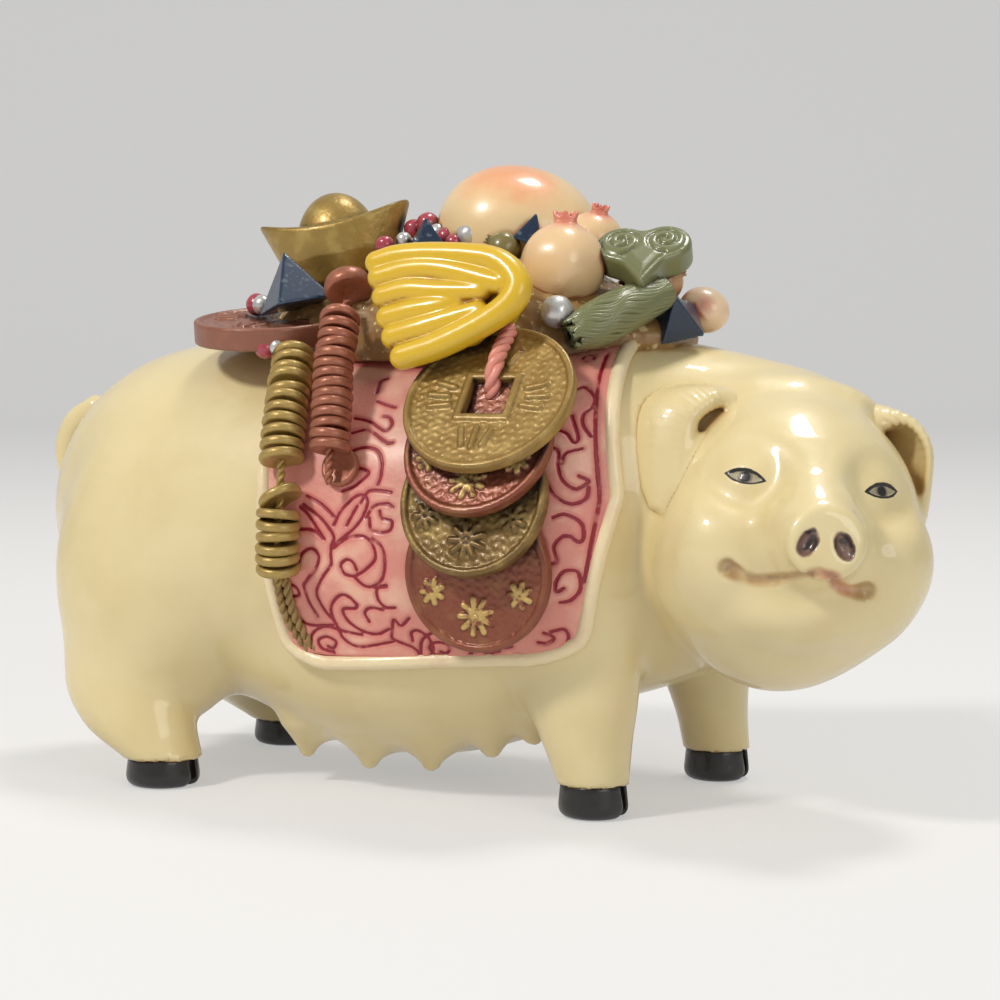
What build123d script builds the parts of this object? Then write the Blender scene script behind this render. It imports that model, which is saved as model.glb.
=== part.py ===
from build123d import *
import math
import os

os.makedirs("parts", exist_ok=True)

# A resin pig with a saddle cloth and a heap of treasures on its back.
# The pig stands along X with its head at +X. Its right side, at -Y, carries the hanging coins.
# Z = 0 is the surface that the four hooves stand on. The origin is the middle of that footprint.

# Whole figurine
figurine_length = 150.0
trunk_width = 61.0
back_height = 71.5
middle_x = 2.6
spine_y = 3.1
overrun = 2.0

# Trunk sections from the rump to the breast: place along the figurine as a share of its length,
# then top and bottom as shares of the back's height, then the width as a share of the trunk's.
trunk_section_shares = [
    (-0.505, 0.68, 0.53, 0.13),
    (-0.495, 0.755, 0.46, 0.30),
    (-0.463, 0.850, 0.34, 0.50),
    (-0.427, 0.912, 0.27, 0.64),
    (-0.373, 0.965, 0.21, 0.79),
    (-0.293, 0.996, 0.17, 0.92),
    (-0.187, 1.000, 0.165, 0.98),
    (-0.053, 1.000, 0.145, 1.00),
    (0.080, 1.000, 0.170, 0.985),
    (0.180, 0.999, 0.220, 0.92),
    (0.240, 0.992, 0.260, 0.66),
    (0.300, 0.968, 0.300, 0.56),
    (0.373, 0.930, 0.370, 0.50),
    (0.425, 0.880, 0.480, 0.32),
]

# Udder and teats
udder_length = 64.0
udder_width = 52.0
udder_depth = 36.0
udder_place_shares = (-0.060, 0.0, 0.315)
teat_radius = 3.6
teat_row_width = 24.0
teat_place_shares = [(-0.162, 0.105), (-0.087, 0.092), (-0.014, 0.098), (0.056, 0.140), (0.104, 0.175)]

# Legs: sections from the top down, each with its place as shares of the length, the trunk's width
# and the back's height, and its size along and across as shares of the leg's own two sizes.
rear_leg_length = 23.0
rear_leg_width = 18.0
front_leg_length = 19.0
front_leg_width = 15.0
rear_leg_shares = {
    "right": [
        (-0.345, -0.270, 0.42, 1.05, 1.05),
        (-0.355, -0.305, 0.24, 1.00, 1.02),
        (-0.335, -0.345, 0.135, 0.84, 0.86),
        (-0.300, -0.369, 0.063, 0.56, 0.66),
    ],
    "left": [
        (-0.350, 0.250, 0.42, 1.05, 1.05),
        (-0.360, 0.280, 0.24, 1.00, 1.02),
        (-0.340, 0.310, 0.135, 0.84, 0.86),
        (-0.305, 0.325, 0.063, 0.56, 0.66),
    ],
}
front_leg_shares = {
    "right": [
        (0.160, -0.262, 0.45, 1.05, 1.05),
        (0.165, -0.275, 0.28, 1.00, 1.00),
        (0.176, -0.285, 0.16, 0.74, 0.82),
        (0.184, -0.290, 0.070, 0.57, 0.68),
    ],
    "left": [
        (0.215, 0.230, 0.45, 1.05, 1.05),
        (0.222, 0.265, 0.28, 0.80, 1.00),
        (0.228, 0.290, 0.16, 0.62, 0.82),
        (0.232, 0.305, 0.070, 0.57, 0.68),
    ],
}
haunch_length = 35.5
haunch_width = 30.0
haunch_height = 50.0
haunch_place_shares = (-0.335, 0.235, 0.46)

# Hooves: black caps under the legs, parted in front by a shallow notch
rear_hoof_length = 12.4
rear_hoof_width = 12.0
front_hoof_length = 11.0
front_hoof_width = 10.6
hoof_flare_share = 0.90
toe_notch_depth = 1.6
toe_notch_width = 1.2

# Head: its middle, its size and the way that it faces
head_place_shares = (0.364, -0.131, 0.598)
head_turn = -57.0
head_roll = 6.7
head_depth = 38.5
head_width = 39.0
head_height = 42.0
jowl_length = 29.0
jowl_width = 31.0
jowl_height = 25.0
jowl_place_shares = (0.06, 0.12, -0.14)
throat_size = 30.0
throat_place_shares = (-0.10, 0.0, -0.20)
snout_reach = 27.0
snout_width = 11.5
snout_height = 10.6
snout_root_width = 22.0
snout_root_height = 19.0
snout_drop = 1.2
snout_root_reach = 11.0
snout_waist_share = 1.12
snout_edge = 1.4
nostril_length = 4.2
nostril_width = 2.8
nostril_depth = 2.0
nostril_spacing = 5.0

# Ears: a bent leaf each, from its root on the crown to its hanging tip, with the places in the
# head's own directions (ahead, to the pig's left, up) as shares of the head's three sizes.
ear_width = 11.0
ear_thickness = 2.6
ear_splay = 40.0
ear_spread_shares = {-1: 1.0, 1: 0.89}
ear_leaf_shares = [
    (-0.10, 0.330, 0.420, 0.85),
    (-0.08, 0.430, 0.490, 1.00),
    (-0.02, 0.545, 0.330, 0.92),
    (0.01, 0.560, 0.170, 0.68),
    (0.02, 0.525, 0.035, 0.25),
]

# Tail: a short drooping tail, its sections from the root to the tip
tail_thickness = 4.6
tail_section_shares = [
    (-0.478, 0.000, 0.825, 0.95),
    (-0.503, 0.000, 0.775, 1.00),
    (-0.513, -0.010, 0.700, 0.90),
    (-0.508, -0.035, 0.640, 0.55),
]

# Saddle cloth with its raised hem
cloth_thickness = 1.2
hem_width = 1.9
hem_raise = 0.7
cloth_rear_top_share = -0.200
cloth_rear_waist_share = -0.150
cloth_rear_bottom_share = -0.134
cloth_front_top_share = 0.178
cloth_front_waist_share = 0.228
cloth_front_bottom_share = 0.192
cloth_waist_height_share = 0.68
cloth_rear_hang_share = 0.295
cloth_front_hang_share = 0.330
cloth_corner = 5.5

# Heap of treasures: the room that it takes on the back
heap_length = 84.0
heap_width = 54.0
heap_height = 27.0
bed_section_shares = [
    (-0.47, 0.14, 0.24),
    (-0.36, 0.27, 0.52),
    (-0.20, 0.40, 0.66),
    (0.00, 0.53, 0.76),
    (0.18, 0.50, 0.74),
    (0.32, 0.34, 0.58),
    (0.43, 0.16, 0.30),
]

# Four coins that hang on the right side, from the top one down
coin_radius_top = 13.2
coin_radius_low = 11.5
coin_thickness = 1.9
coin_rim = 1.1
coin_rim_raise = 0.35
coin_hole = 6.6
coin_hole_frame = 1.0
coin_place_shares = [(0.104, 0.828, 5.0), (0.099, 0.758, 7.0), (0.098, 0.665, 7.0), (0.099, 0.526, 8.0)]
coin_lift_shares = [2.55, 1.75, 1.15, 0.55]
tie_cord_thickness = 2.5
tie_cord_shares = [(0.106, -0.360, 1.020), (0.104, -0.450, 0.940), (0.102, -0.430, 0.860)]

# Strings of small coins: the route of each string's cord and the stacks of coins on it
string_cord_thickness = 1.3
string_coin_thickness = 1.35
string_coin_edge = 0.45
copper_coin_radius = 3.1
copper_coin_pitch = 1.62
copper_coin_count = 14
copper_route_shares = [
    (-0.081, -0.335, 1.082),
    (-0.078, -0.392, 1.035),
    (-0.072, -0.455, 0.920),
    (-0.063, -0.512, 0.805),
    (-0.057, -0.552, 0.700),
]
copper_start_share = 0.14
copper_cord_runs = 4
brass_cord_runs = 5
top_coin_radius = 3.7
top_coin_thickness = 2.8
top_coin_place_shares = (-0.090, -0.290, 1.112)
top_coin_turn = (-38.0, -24.0, 0.0)
end_coin_radius = 3.0
end_coin_thickness = 1.5
end_coin_place_shares = (-0.055, -0.562, 0.722)
brass_coin_radius = 3.35
brass_coin_pitch = 1.86
brass_coin_count = 11
brass_low_pitch = 1.66
brass_low_count = 6
brass_route_shares = [
    (-0.141, -0.345, 0.975),
    (-0.130, -0.425, 0.890),
    (-0.120, -0.500, 0.790),
    (-0.113, -0.548, 0.670),
    (-0.114, -0.558, 0.580),
    (-0.117, -0.540, 0.480),
]
brass_start_share = 0.03
brass_low_start_share = 0.72
loose_coin_share = 0.655
loose_coin_tilt = 28.0

# Brown cord that hangs from the brass string along the cloth's rear hem
brown_cord_thickness = 1.5
brown_cord_lift = 1.8
brown_cord_bend = 4.0
brown_cord_shares = [(-0.120, 0.500), (-0.116, 0.430), (-0.105, 0.370), (-0.088, 0.335), (-0.070, 0.325)]

# Large copper coin that lies nearly flat at the heap's rear corner
flat_coin_radius = 12.4
flat_coin_thickness = 3.6
flat_coin_rim = 1.4
flat_coin_dip = 0.5
flat_coin_place_shares = (-0.350, -0.250, 0.065)
flat_coin_turn = (9.0, 2.0, 0.0)

# Gold boat ingot
ingot_length = 25.5
ingot_width = 14.5
ingot_depth = 12.0
ingot_wall = 1.3
ingot_base_share = 0.52
ingot_waist_shares = (0.76, 0.88, -0.125)
ingot_dip_radius = 29.0
ingot_dip = 2.6
ingot_bowl_depth = 4.5
ingot_dome_length = 13.0
ingot_dome_width = 11.5
ingot_dome_height = 8.4
ingot_place_shares = (-0.270, -0.060, 0.535)
ingot_turn = (-4.0, -11.0, 12.0)

# Peaches: each two round lobes that meet in a cleft
peach_lobe_radius = 10.9
peach_lobe_spacing = 5.0
peach_place_shares = (0.060, 0.110, 0.598)
peach_turn = (0.0, 14.0, 20.0)
small_peach_lobe_radius = 3.3
small_peach_lobe_spacing = 1.4
small_peach_place_shares = (0.452, 0.035, 0.165)
small_peach_turn = (0.0, 20.0, 0.0)

# Pomegranates: size of the fruit and its crown, place, and the way that the crown points
pomegranate_shares = {
    "pomegranate_near": (1.00, (0.225, -0.165, 0.415), (-4.0, 2.0, 0.0)),
    "pomegranate_far": (0.74, (0.232, 0.040, 0.560), (4.0, 14.0, 0.0)),
    "pomegranate_olive": (0.40, (0.098, -0.130, 0.520), (35.0, -52.0, 0.0)),
    "pomegranate_tan": (0.48, (0.382, -0.010, 0.325), (0.0, 62.0, 0.0)),
}
pomegranate_radius = 6.6
crown_radius = 2.3
crown_neck_radius = 1.5
crown_height = 4.0
crown_root = 1.0
crown_bore_radius = 1.1

# Yellow citron with closed fingers: bars from the stem end at the front to the finger tips,
# each with its two ends in the heap and its thickness as a share of the finger's
citron_finger_radius = 3.1
citron_round_share = 0.90
citron_finger_shares = [
    (0.190, -0.395, 0.260, -0.030, -0.345, 0.420, 1.10),
    (0.165, -0.420, 0.225, -0.045, -0.420, 0.300, 1.00),
    (0.175, -0.440, 0.140, -0.055, -0.455, 0.175, 0.95),
    (0.150, -0.455, 0.060, -0.030, -0.500, 0.010, 1.05),
    (0.130, -0.475, -0.030, 0.010, -0.530, -0.105, 1.05),
    (0.140, -0.360, 0.300, -0.075, -0.330, 0.160, 1.05),
]
citron_body_radius = 6.4
citron_body_height = 11.0
citron_body_chamfer = 3.0
citron_body_place_shares = (0.165, -0.375, 0.170)

# Green sceptre head with its tassel
sceptre_lobe_radius = 4.1
sceptre_lobe_spacing = 6.4
sceptre_point_reach = 5.6
sceptre_thickness = 4.6
sceptre_wing_share = 0.7
sceptre_fill_share = 0.8
sceptre_neck_radius = 3.7
sceptre_neck_length = 8.0
sceptre_place_shares = (0.366, -0.095, 0.490)
sceptre_turn = (38.0, 8.0, 14.0)
tassel_section_shares = [
    (0.410, -0.130, 0.260, 0.16, 0.22),
    (0.360, -0.230, 0.160, 0.22, 0.28),
    (0.320, -0.310, 0.070, 0.22, 0.24),
    (0.288, -0.360, 0.015, 0.14, 0.14),
]
tassel_size = 30.0

# Blue gems: four-sided pyramids with their base side, height, place and the way they point
gem_base = 8.0
gem_tip = 0.2
gem_height = 7.6
gem_shares = {
    "gem_rear": (1.18, (-0.280, -0.300, 0.190), (0.0, -14.0, 50.0)),
    "gem_middle": (0.74, (-0.045, -0.180, 0.500), (4.0, 0.0, 40.0)),
    "gem_top": (0.62, (0.135, -0.090, 0.560), (0.0, 18.0, 20.0)),
    "gem_front": (0.85, (0.428, -0.075, 0.080), (48.0, 10.0, 25.0)),
}

# Pearls and beads: radius of each kind, then each one's size as a share of it and its place
pearl_radius = 2.5
pearl_shares = [
    (1.00, (0.258, -0.330, 0.150)),
    (0.90, (0.012, -0.075, 0.600)),
    (0.66, (-0.366, -0.262, 0.200)),
    (0.52, (-0.098, -0.165, 0.575)),
    (0.60, (-0.063, -0.050, 0.625)),
    (0.52, (-0.276, -0.428, -0.045)),
]
bead_radius = 1.9
bead_shares = [
    (0.95, (-0.392, -0.225, 0.205)),
    (1.00, (-0.091, -0.025, 0.680)),
    (0.85, (-0.124, -0.015, 0.655)),
    (0.80, (-0.126, -0.200, 0.545)),
    (0.85, (-0.040, -0.066, 0.595)),
    (0.75, (-0.014, -0.100, 0.560)),
    (0.90, (-0.300, -0.430, -0.050)),
]

# Treasures on the side that the heap hides: small brass coins on the bed's far slope
far_coin_radius = 5.6
far_coin_thickness = 1.8
far_coin_hole = 2.2
far_coin_shares = [
    ((-0.200, 0.265, 0.260), (-42.0, 0.0, 10.0)),
    ((-0.030, 0.345, 0.210), (-50.0, 4.0, 30.0)),
    ((0.300, 0.210, 0.230), (-44.0, 10.0, 0.0)),
]


def on_figurine(x_share, y_share, z_share):
    """A place from shares of the figurine's length, the trunk's width and the back's height."""
    x = middle_x + x_share * figurine_length
    y = spine_y + y_share * trunk_width
    return Vector(x, y, z_share * back_height)


def on_heap(x_share, y_share, z_share):
    """A place from shares of the room that the heap takes on the back."""
    x = middle_x + x_share * heap_length
    y = spine_y + y_share * heap_width
    return Vector(x, y, back_height + z_share * heap_height)


def ball(length, width, height):
    """A closed round solid of the given three sizes, around the origin."""
    return scale(Sphere(1), by=(length / 2, width / 2, height / 2))


def main_solid(shape):
    """The largest solid of a shape, without the crumbs that a cut may leave."""
    solids = shape.solids()
    if len(solids) == 0:
        raise ValueError("a piece was cut away whole")
    return max(solids, key=lambda solid: solid.volume)


def box_of(shape):
    """The corners of a box that holds a shape."""
    box = shape.bounding_box(optimal=False)
    return box.min, box.max


def boxes_meet(first, second):
    """Whether two boxes, each given by its corners, reach each other."""
    low, high = first
    other_low, other_high = second
    apart_x = low.X > other_high.X or other_low.X > high.X
    apart_y = low.Y > other_high.Y or other_low.Y > high.Y
    apart_z = low.Z > other_high.Z or other_low.Z > high.Z
    return not (apart_x or apart_y or apart_z)


nodes = {}
placed = []


def add_node(name, pieces, on_cloth=False):
    """Put pieces in a node, each with the room of what was placed before it cut away.

    Pieces that lie on the cloth can't reach the casting, the first solid, which the cloth covers.
    """
    solids = []
    for piece in pieces:
        box = box_of(piece)
        for solid, solid_box in placed[1:] if on_cloth else placed:
            if boxes_meet(box, solid_box):
                piece = piece - solid
        piece = main_solid(piece)
        solids.append(piece)
        placed.append((piece, box_of(piece)))
    nodes[name] = solids[0] if len(solids) == 1 else Compound(solids)


def planes_along(points, across):
    """A plane at each point, square to the way on, with its X axis as near to across as it can be."""
    planes = []
    for index, point in enumerate(points):
        before = points[max(index - 1, 0)]
        after = points[min(index + 1, len(points) - 1)]
        along = (after - before).normalized()
        planes.append(Plane(origin=point, x_dir=across - along * across.dot(along), z_dir=along))
    return planes


def limb(sections, across_x, across_y):
    """A solid through level ovals, each a place and its two sizes as shares."""
    ovals = []
    for x_share, y_share, z_share, length_share, width_share in sections:
        place = on_figurine(x_share, y_share, z_share)
        oval = Ellipse(across_x * length_share / 2, across_y * width_share / 2)
        ovals.append(Plane(origin=place) * oval)
    return loft(ovals)


def trunk_solid(extra):
    """The trunk, thicker all round by the extra, lofted through its upright ovals."""
    ovals = []
    for x_share, top_share, bottom_share, width_share in trunk_section_shares:
        place = on_figurine(x_share, 0, (top_share + bottom_share) / 2)
        plane = Plane(origin=place, x_dir=(0, 1, 0), z_dir=(1, 0, 0))
        half_width = trunk_width * width_share / 2 + extra
        half_height = back_height * (top_share - bottom_share) / 2 + extra
        ovals.append(plane * Ellipse(half_width, half_height))
    return loft(ovals)


def trunk_oval(x_share):
    """The trunk's oval at a place along it: half width, half height and the middle's height."""
    rows = trunk_section_shares
    for before, after in zip(rows, rows[1:]):
        if before[0] <= x_share <= after[0]:
            part = (x_share - before[0]) / (after[0] - before[0])
            top, bottom, width = [before[i] + part * (after[i] - before[i]) for i in (1, 2, 3)]
            half_height = back_height * (top - bottom) / 2
            return trunk_width * width / 2, half_height, back_height * (top + bottom) / 2
    raise ValueError("the place lies beyond the trunk")


def on_right_flank(x_share, z_share, lift):
    """A place on the trunk's right side, lifted off it, and the direction that points away from it."""
    half_width, half_height, middle = trunk_oval(x_share)
    rise = (z_share * back_height - middle) / half_height
    side = math.sqrt(1 - rise * rise)
    outward = Vector(0, -side / half_width, rise / half_height).normalized()
    foot = Vector(middle_x + x_share * figurine_length, spine_y - half_width * side, z_share * back_height)
    return foot + outward * lift, outward


def head_plane():
    """The head's own directions: X ahead out of the snout, Y to the pig's left, Z up."""
    turn = math.radians(head_turn)
    roll = math.radians(head_roll)
    ahead = Vector(math.cos(turn), math.sin(turn), 0)
    to_left = Vector(-math.sin(turn), math.cos(turn), 0)
    up = Vector(0, 0, 1) * math.cos(roll) + to_left * math.sin(roll)
    return Plane(origin=on_figurine(*head_place_shares), x_dir=ahead, z_dir=up)


def make_head_mass():
    """The round head with its jowls, throat and snout, before the neck joint is cut."""
    plane = head_plane()
    mass = plane * ball(head_depth, head_width, head_height)
    for side in (-1, 1):
        ahead_share, side_share, up_share = jowl_place_shares
        place = (ahead_share * head_depth, side * side_share * head_width, up_share * head_height)
        mass = mass + plane * Pos(*place) * ball(jowl_length, jowl_width, jowl_height)
    ahead_share, side_share, up_share = throat_place_shares
    place = (ahead_share * head_depth, side_share * head_width, up_share * head_height)
    mass = mass + plane * Pos(*place) * ball(throat_size, throat_size, throat_size)

    def upright(reach):
        return plane * Plane(origin=(reach, 0, -snout_drop), x_dir=(0, 1, 0), z_dir=(1, 0, 0))

    snout_waist = (snout_root_reach + snout_reach) / 2
    waist_width = snout_width * snout_waist_share
    waist_height = snout_height * snout_waist_share
    ovals = [
        upright(0) * Ellipse(snout_root_width / 2, snout_root_height / 2),
        upright(snout_root_reach) * Ellipse(snout_root_width / 2, snout_root_height / 2),
        upright(snout_waist) * Ellipse(waist_width / 2, waist_height / 2),
        upright(snout_reach - snout_edge) * Ellipse(snout_width / 2, snout_height / 2),
        upright(snout_reach) * Ellipse(snout_width / 2 - snout_edge / 2, snout_height / 2 - snout_edge / 2),
    ]
    mass = mass + loft(ovals, ruled=True)
    for side in (-1, 1):
        spot = upright(snout_reach) * Pos(side * nostril_spacing / 2, 0, 0)
        mass = mass - spot * ball(nostril_width, nostril_length, nostril_depth * 2)
    return main_solid(mass)


def make_ear(side):
    """One ear: a thin leaf that rises from the crown, folds over and hangs beside the head."""
    plane = head_plane()
    splay = math.radians(ear_splay)
    across = plane.x_dir * math.sin(splay) - plane.y_dir * side * math.cos(splay)
    points = []
    spread = side * head_width * ear_spread_shares[side]
    for ahead_share, side_share, up_share, _ in ear_leaf_shares:
        place = Vector(ahead_share * head_depth, side_share * spread, up_share * head_height)
        points.append(plane.from_local_coords(place))
    ovals = []
    for section, row in zip(planes_along(points, across), ear_leaf_shares):
        ovals.append(section * Ellipse(ear_width * row[3] / 2, ear_thickness / 2))
    return loft(ovals)


def make_tail():
    """The short tail, lofted along its droop."""
    points = [on_figurine(*row[:3]) for row in tail_section_shares]
    rounds = []
    for section, row in zip(planes_along(points, Vector(0, 1, 0)), tail_section_shares):
        rounds.append(section * Circle(tail_thickness * row[3] / 2))
    return loft(rounds)


def make_hoof(last_section, length, width):
    """A hoof cap from the sole up to the leg's last section, with a notch between its toes."""
    x_share, y_share, z_share = last_section[:3]
    foot = on_figurine(x_share, y_share, 0)
    top = on_figurine(x_share, y_share, z_share)
    sole = Plane(origin=foot) * Ellipse(length / 2, width / 2)
    crown = Plane(origin=top) * Ellipse(length * hoof_flare_share / 2, width * hoof_flare_share / 2)
    cap = loft([sole, crown], ruled=True)
    notch = Cylinder(toe_notch_width, top.Z * 2 + overrun)
    front = foot + Vector(length / 2 + toe_notch_width - toe_notch_depth, 0, 0)
    return main_solid(cap - Pos(front) * notch)


def make_body_mass():
    """Trunk, haunches, udder, teats and legs as one round mass that ends on the hooves."""
    mass = trunk_solid(0)
    udder = Pos(on_figurine(*udder_place_shares)) * ball(udder_length, udder_width, udder_depth)
    mass = mass + udder
    for side in (-1, 1):
        x_share, y_share, z_share = haunch_place_shares
        place = on_figurine(x_share, side * y_share, z_share)
        mass = mass + Pos(place) * ball(haunch_length, haunch_width, haunch_height)
        for x_share, z_share in teat_place_shares:
            place = on_figurine(x_share, 0, z_share) + Vector(0, side * teat_row_width / 2, 0)
            mass = mass + Pos(place) * Sphere(teat_radius)
    for sections in rear_leg_shares.values():
        mass = mass + limb(sections, rear_leg_length, rear_leg_width)
    for sections in front_leg_shares.values():
        mass = mass + limb(sections, front_leg_length, front_leg_width)
    return main_solid(mass)


def cloth_outline(inset):
    """The cloth's side view as a face, smaller all round by the inset, open over the back."""
    rear = [cloth_rear_top_share, cloth_rear_waist_share, cloth_rear_bottom_share]
    front = [cloth_front_top_share, cloth_front_waist_share, cloth_front_bottom_share]
    rear = [middle_x + share * figurine_length + inset for share in rear]
    front = [middle_x + share * figurine_length - inset for share in front]
    heights = [back_height + heap_height, cloth_waist_height_share * back_height]
    rear_heights = heights + [cloth_rear_hang_share * back_height + inset]
    front_heights = heights + [cloth_front_hang_share * back_height + inset]
    corners = list(zip(rear, rear_heights)) + list(zip(front, front_heights))[::-1]
    outline = Polyline(*corners, close=True)
    outline = make_face(outline)
    low = outline.vertices().sort_by(Axis.Y)[:2]
    return fillet(low, cloth_corner - inset)


def cloth_prism(inset):
    """The cloth's side view carried right across the trunk."""
    face = Plane.XZ * cloth_outline(inset)
    return extrude(face, amount=trunk_width, both=True)


def make_cloth():
    """The cloth panel and its raised hem, both as deep as the trunk that they will lie on."""
    panel = trunk_solid(cloth_thickness) & cloth_prism(hem_width)
    frame = cloth_prism(0) - cloth_prism(hem_width)
    hem = trunk_solid(cloth_thickness + hem_raise) & frame
    return panel, hem


def cash_coin(radius, thickness, rim, with_hole):
    """A round coin with a raised rim on its face and, if asked, a framed square hole."""
    coin = Cylinder(radius, thickness)
    face = Pos(0, 0, thickness / 2)
    field = Circle(radius - rim)
    if with_hole:
        field = field - Rectangle(coin_hole + coin_hole_frame * 2, coin_hole + coin_hole_frame * 2)
    coin = coin - face * Pos(0, 0, -coin_rim_raise) * extrude(field, amount=coin_rim_raise + overrun)
    if with_hole:
        coin = coin - Box(coin_hole, coin_hole, thickness + overrun)
    return coin


def make_hanging_coin(index):
    """One of the four coins that lie over each other like tiles on the right flank."""
    x_share, z_share, tip = coin_place_shares[index]
    radius = coin_radius_top if index == 0 else coin_radius_low
    lift = cloth_thickness + coin_thickness * coin_lift_shares[index]
    place, outward = on_right_flank(x_share, z_share, lift)
    plane = Plane(origin=place, x_dir=(1, 0, 0), z_dir=outward)
    return plane * Rot(-tip, 0, 0) * cash_coin(radius, coin_thickness, coin_rim, index == 0)


def bent_rod(points, bend, thickness):
    """A round rod along straight runs joined by tangent bends."""
    path = FilletPolyline(*points, radius=bend)
    start = Plane(origin=path @ 0, z_dir=path % 0)
    return sweep(start * Circle(thickness / 2), path=path)


def make_tie_cord():
    """The twisted cord's outer shape, from the heap down into the top coin's hole."""
    points = [on_figurine(*row) for row in tie_cord_shares]
    return bent_rod(points, tie_cord_thickness, tie_cord_thickness)


def thick_coin(radius, thickness):
    """A small thick coin with rounded edges."""
    coin = Cylinder(radius, thickness)
    return fillet(coin.edges(), string_coin_edge)


def coins_on(route, start, pitch, count, radius):
    """Coins threaded on a route, from a share of its length on, one pitch after another."""
    coins = []
    for index in range(count):
        share = start + index * pitch / route.length
        plane = Plane(origin=route @ share, z_dir=route % share)
        coins.append(plane * thick_coin(radius, string_coin_thickness))
    return coins


def make_copper_coins(route):
    """The stack of copper coins on its string."""
    return coins_on(route, copper_start_share, copper_coin_pitch, copper_coin_count, copper_coin_radius)


def make_brass_coins(route):
    """The brass string's two stacks with the one loose coin that tilts between them."""
    upper = coins_on(route, brass_start_share, brass_coin_pitch, brass_coin_count, brass_coin_radius)
    lower = coins_on(route, brass_low_start_share, brass_low_pitch, brass_low_count, brass_coin_radius)
    plane = Plane(origin=route @ loose_coin_share, z_dir=route % loose_coin_share)
    loose = plane * Rot(0, loose_coin_tilt, 0) * thick_coin(brass_coin_radius, string_coin_thickness)
    return upper + lower + [loose]


def make_top_coin():
    """The thick copper coin on top of the copper string, tipped on the heap's edge."""
    coin = thick_coin(top_coin_radius, top_coin_thickness)
    return Pos(on_figurine(*top_coin_place_shares)) * Rot(*top_coin_turn) * coin


def make_end_coin():
    """The coin that closes the copper string and faces outward on the flank."""
    x_share, _, z_share = end_coin_place_shares
    place, outward = on_right_flank(x_share, z_share, cloth_thickness + end_coin_thickness / 2)
    return Plane(origin=place, z_dir=outward) * thick_coin(end_coin_radius, end_coin_thickness)


def make_brown_cord():
    """The two strands of brown cord that hang side by side over the cloth's rear hem."""
    strands = []
    for side in (-1, 1):
        points = []
        for x_share, z_share in brown_cord_shares:
            place, _ = on_right_flank(x_share, z_share, brown_cord_lift)
            points.append(place + Vector(side * brown_cord_thickness / 2, 0, 0))
        strands.append(bent_rod(points, brown_cord_bend, brown_cord_thickness))
    return strands


def make_balls(radius, shares):
    """Round beads of one kind, each with its own size and place on the heap."""
    return [Pos(on_heap(*place)) * Sphere(radius * share) for share, place in shares]


def make_far_coins():
    """Small coins with square holes that lie on the heap's far slope."""
    coins = []
    for place, turn in far_coin_shares:
        coin = Cylinder(far_coin_radius, far_coin_thickness)
        coin = coin - Box(far_coin_hole, far_coin_hole, far_coin_thickness + overrun)
        coins.append(Pos(on_heap(*place)) * Rot(*turn) * coin)
    return coins


def string_route(shares):
    """The smooth line that a string of coins follows."""
    return Spline(*[on_figurine(*row) for row in shares])


def cord_on(route, count):
    """A string's own cord: straight runs between points taken evenly on the route."""
    points = [route @ (index / count) for index in range(count + 1)]
    bend = route.length / count
    return bent_rod(points, bend, string_cord_thickness)


def make_ingot():
    """A boat-shaped ingot: a thin-edged hull with raised ends and a dome in the middle."""
    def oval(height, length, width):
        return Plane(origin=(0, 0, height)) * Ellipse(length / 2, width / 2)

    length_share, width_share, height_share = ingot_waist_shares
    ovals = [
        oval(-ingot_depth / 2, ingot_length * ingot_base_share, ingot_width * ingot_base_share),
        oval(ingot_depth * height_share, ingot_length * length_share, ingot_width * width_share),
        oval(ingot_depth / 2, ingot_length, ingot_width),
    ]
    hull = loft(ovals)
    dip_middle = ingot_depth / 2 - ingot_dip + ingot_dip_radius
    dip = Pos(0, 0, dip_middle) * Rot(90, 0, 0) * Cylinder(ingot_dip_radius, ingot_width + overrun)
    hull = hull - dip
    rim_height = ingot_depth / 2 - ingot_dip
    bowl_length = ingot_length - ingot_wall * 2
    bowl_width = ingot_width - ingot_wall * 2
    bowl = ball(bowl_length, bowl_width, ingot_bowl_depth * 2)
    hull = hull - Pos(0, 0, rim_height + ingot_wall) * bowl
    dome = ball(ingot_dome_length, ingot_dome_width, ingot_dome_height * 2)
    dome = dome & Pos(0, 0, ingot_dome_height / 2) * Box(ingot_length, ingot_width, ingot_dome_height * 2)
    hull = hull + Pos(0, 0, rim_height - ingot_wall * 2) * dome
    return Pos(on_heap(*ingot_place_shares)) * Rot(*ingot_turn) * hull


def make_peach(lobe_radius, lobe_spacing, place, turn):
    """A peach of two lobes that meet in a cleft."""
    fruit = Pos(-lobe_spacing / 2, 0, 0) * Sphere(lobe_radius)
    fruit = fruit + Pos(lobe_spacing / 2, 0, 0) * Sphere(lobe_radius)
    return Pos(on_heap(*place)) * Rot(*turn) * fruit


def make_pomegranate(share, place, turn):
    """A round fruit with a short flared crown on top."""
    radius = pomegranate_radius * share
    height = crown_height * share
    crown_middle = radius - crown_root * share + height / 2
    fruit = Sphere(radius)
    fruit = fruit + Pos(0, 0, crown_middle) * Cone(crown_neck_radius * share, crown_radius * share, height)
    bore = Cylinder(crown_bore_radius * share, height)
    fruit = fruit - Pos(0, 0, crown_middle + height / 2) * bore
    return Pos(on_heap(*place)) * Rot(*turn) * fruit


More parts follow.
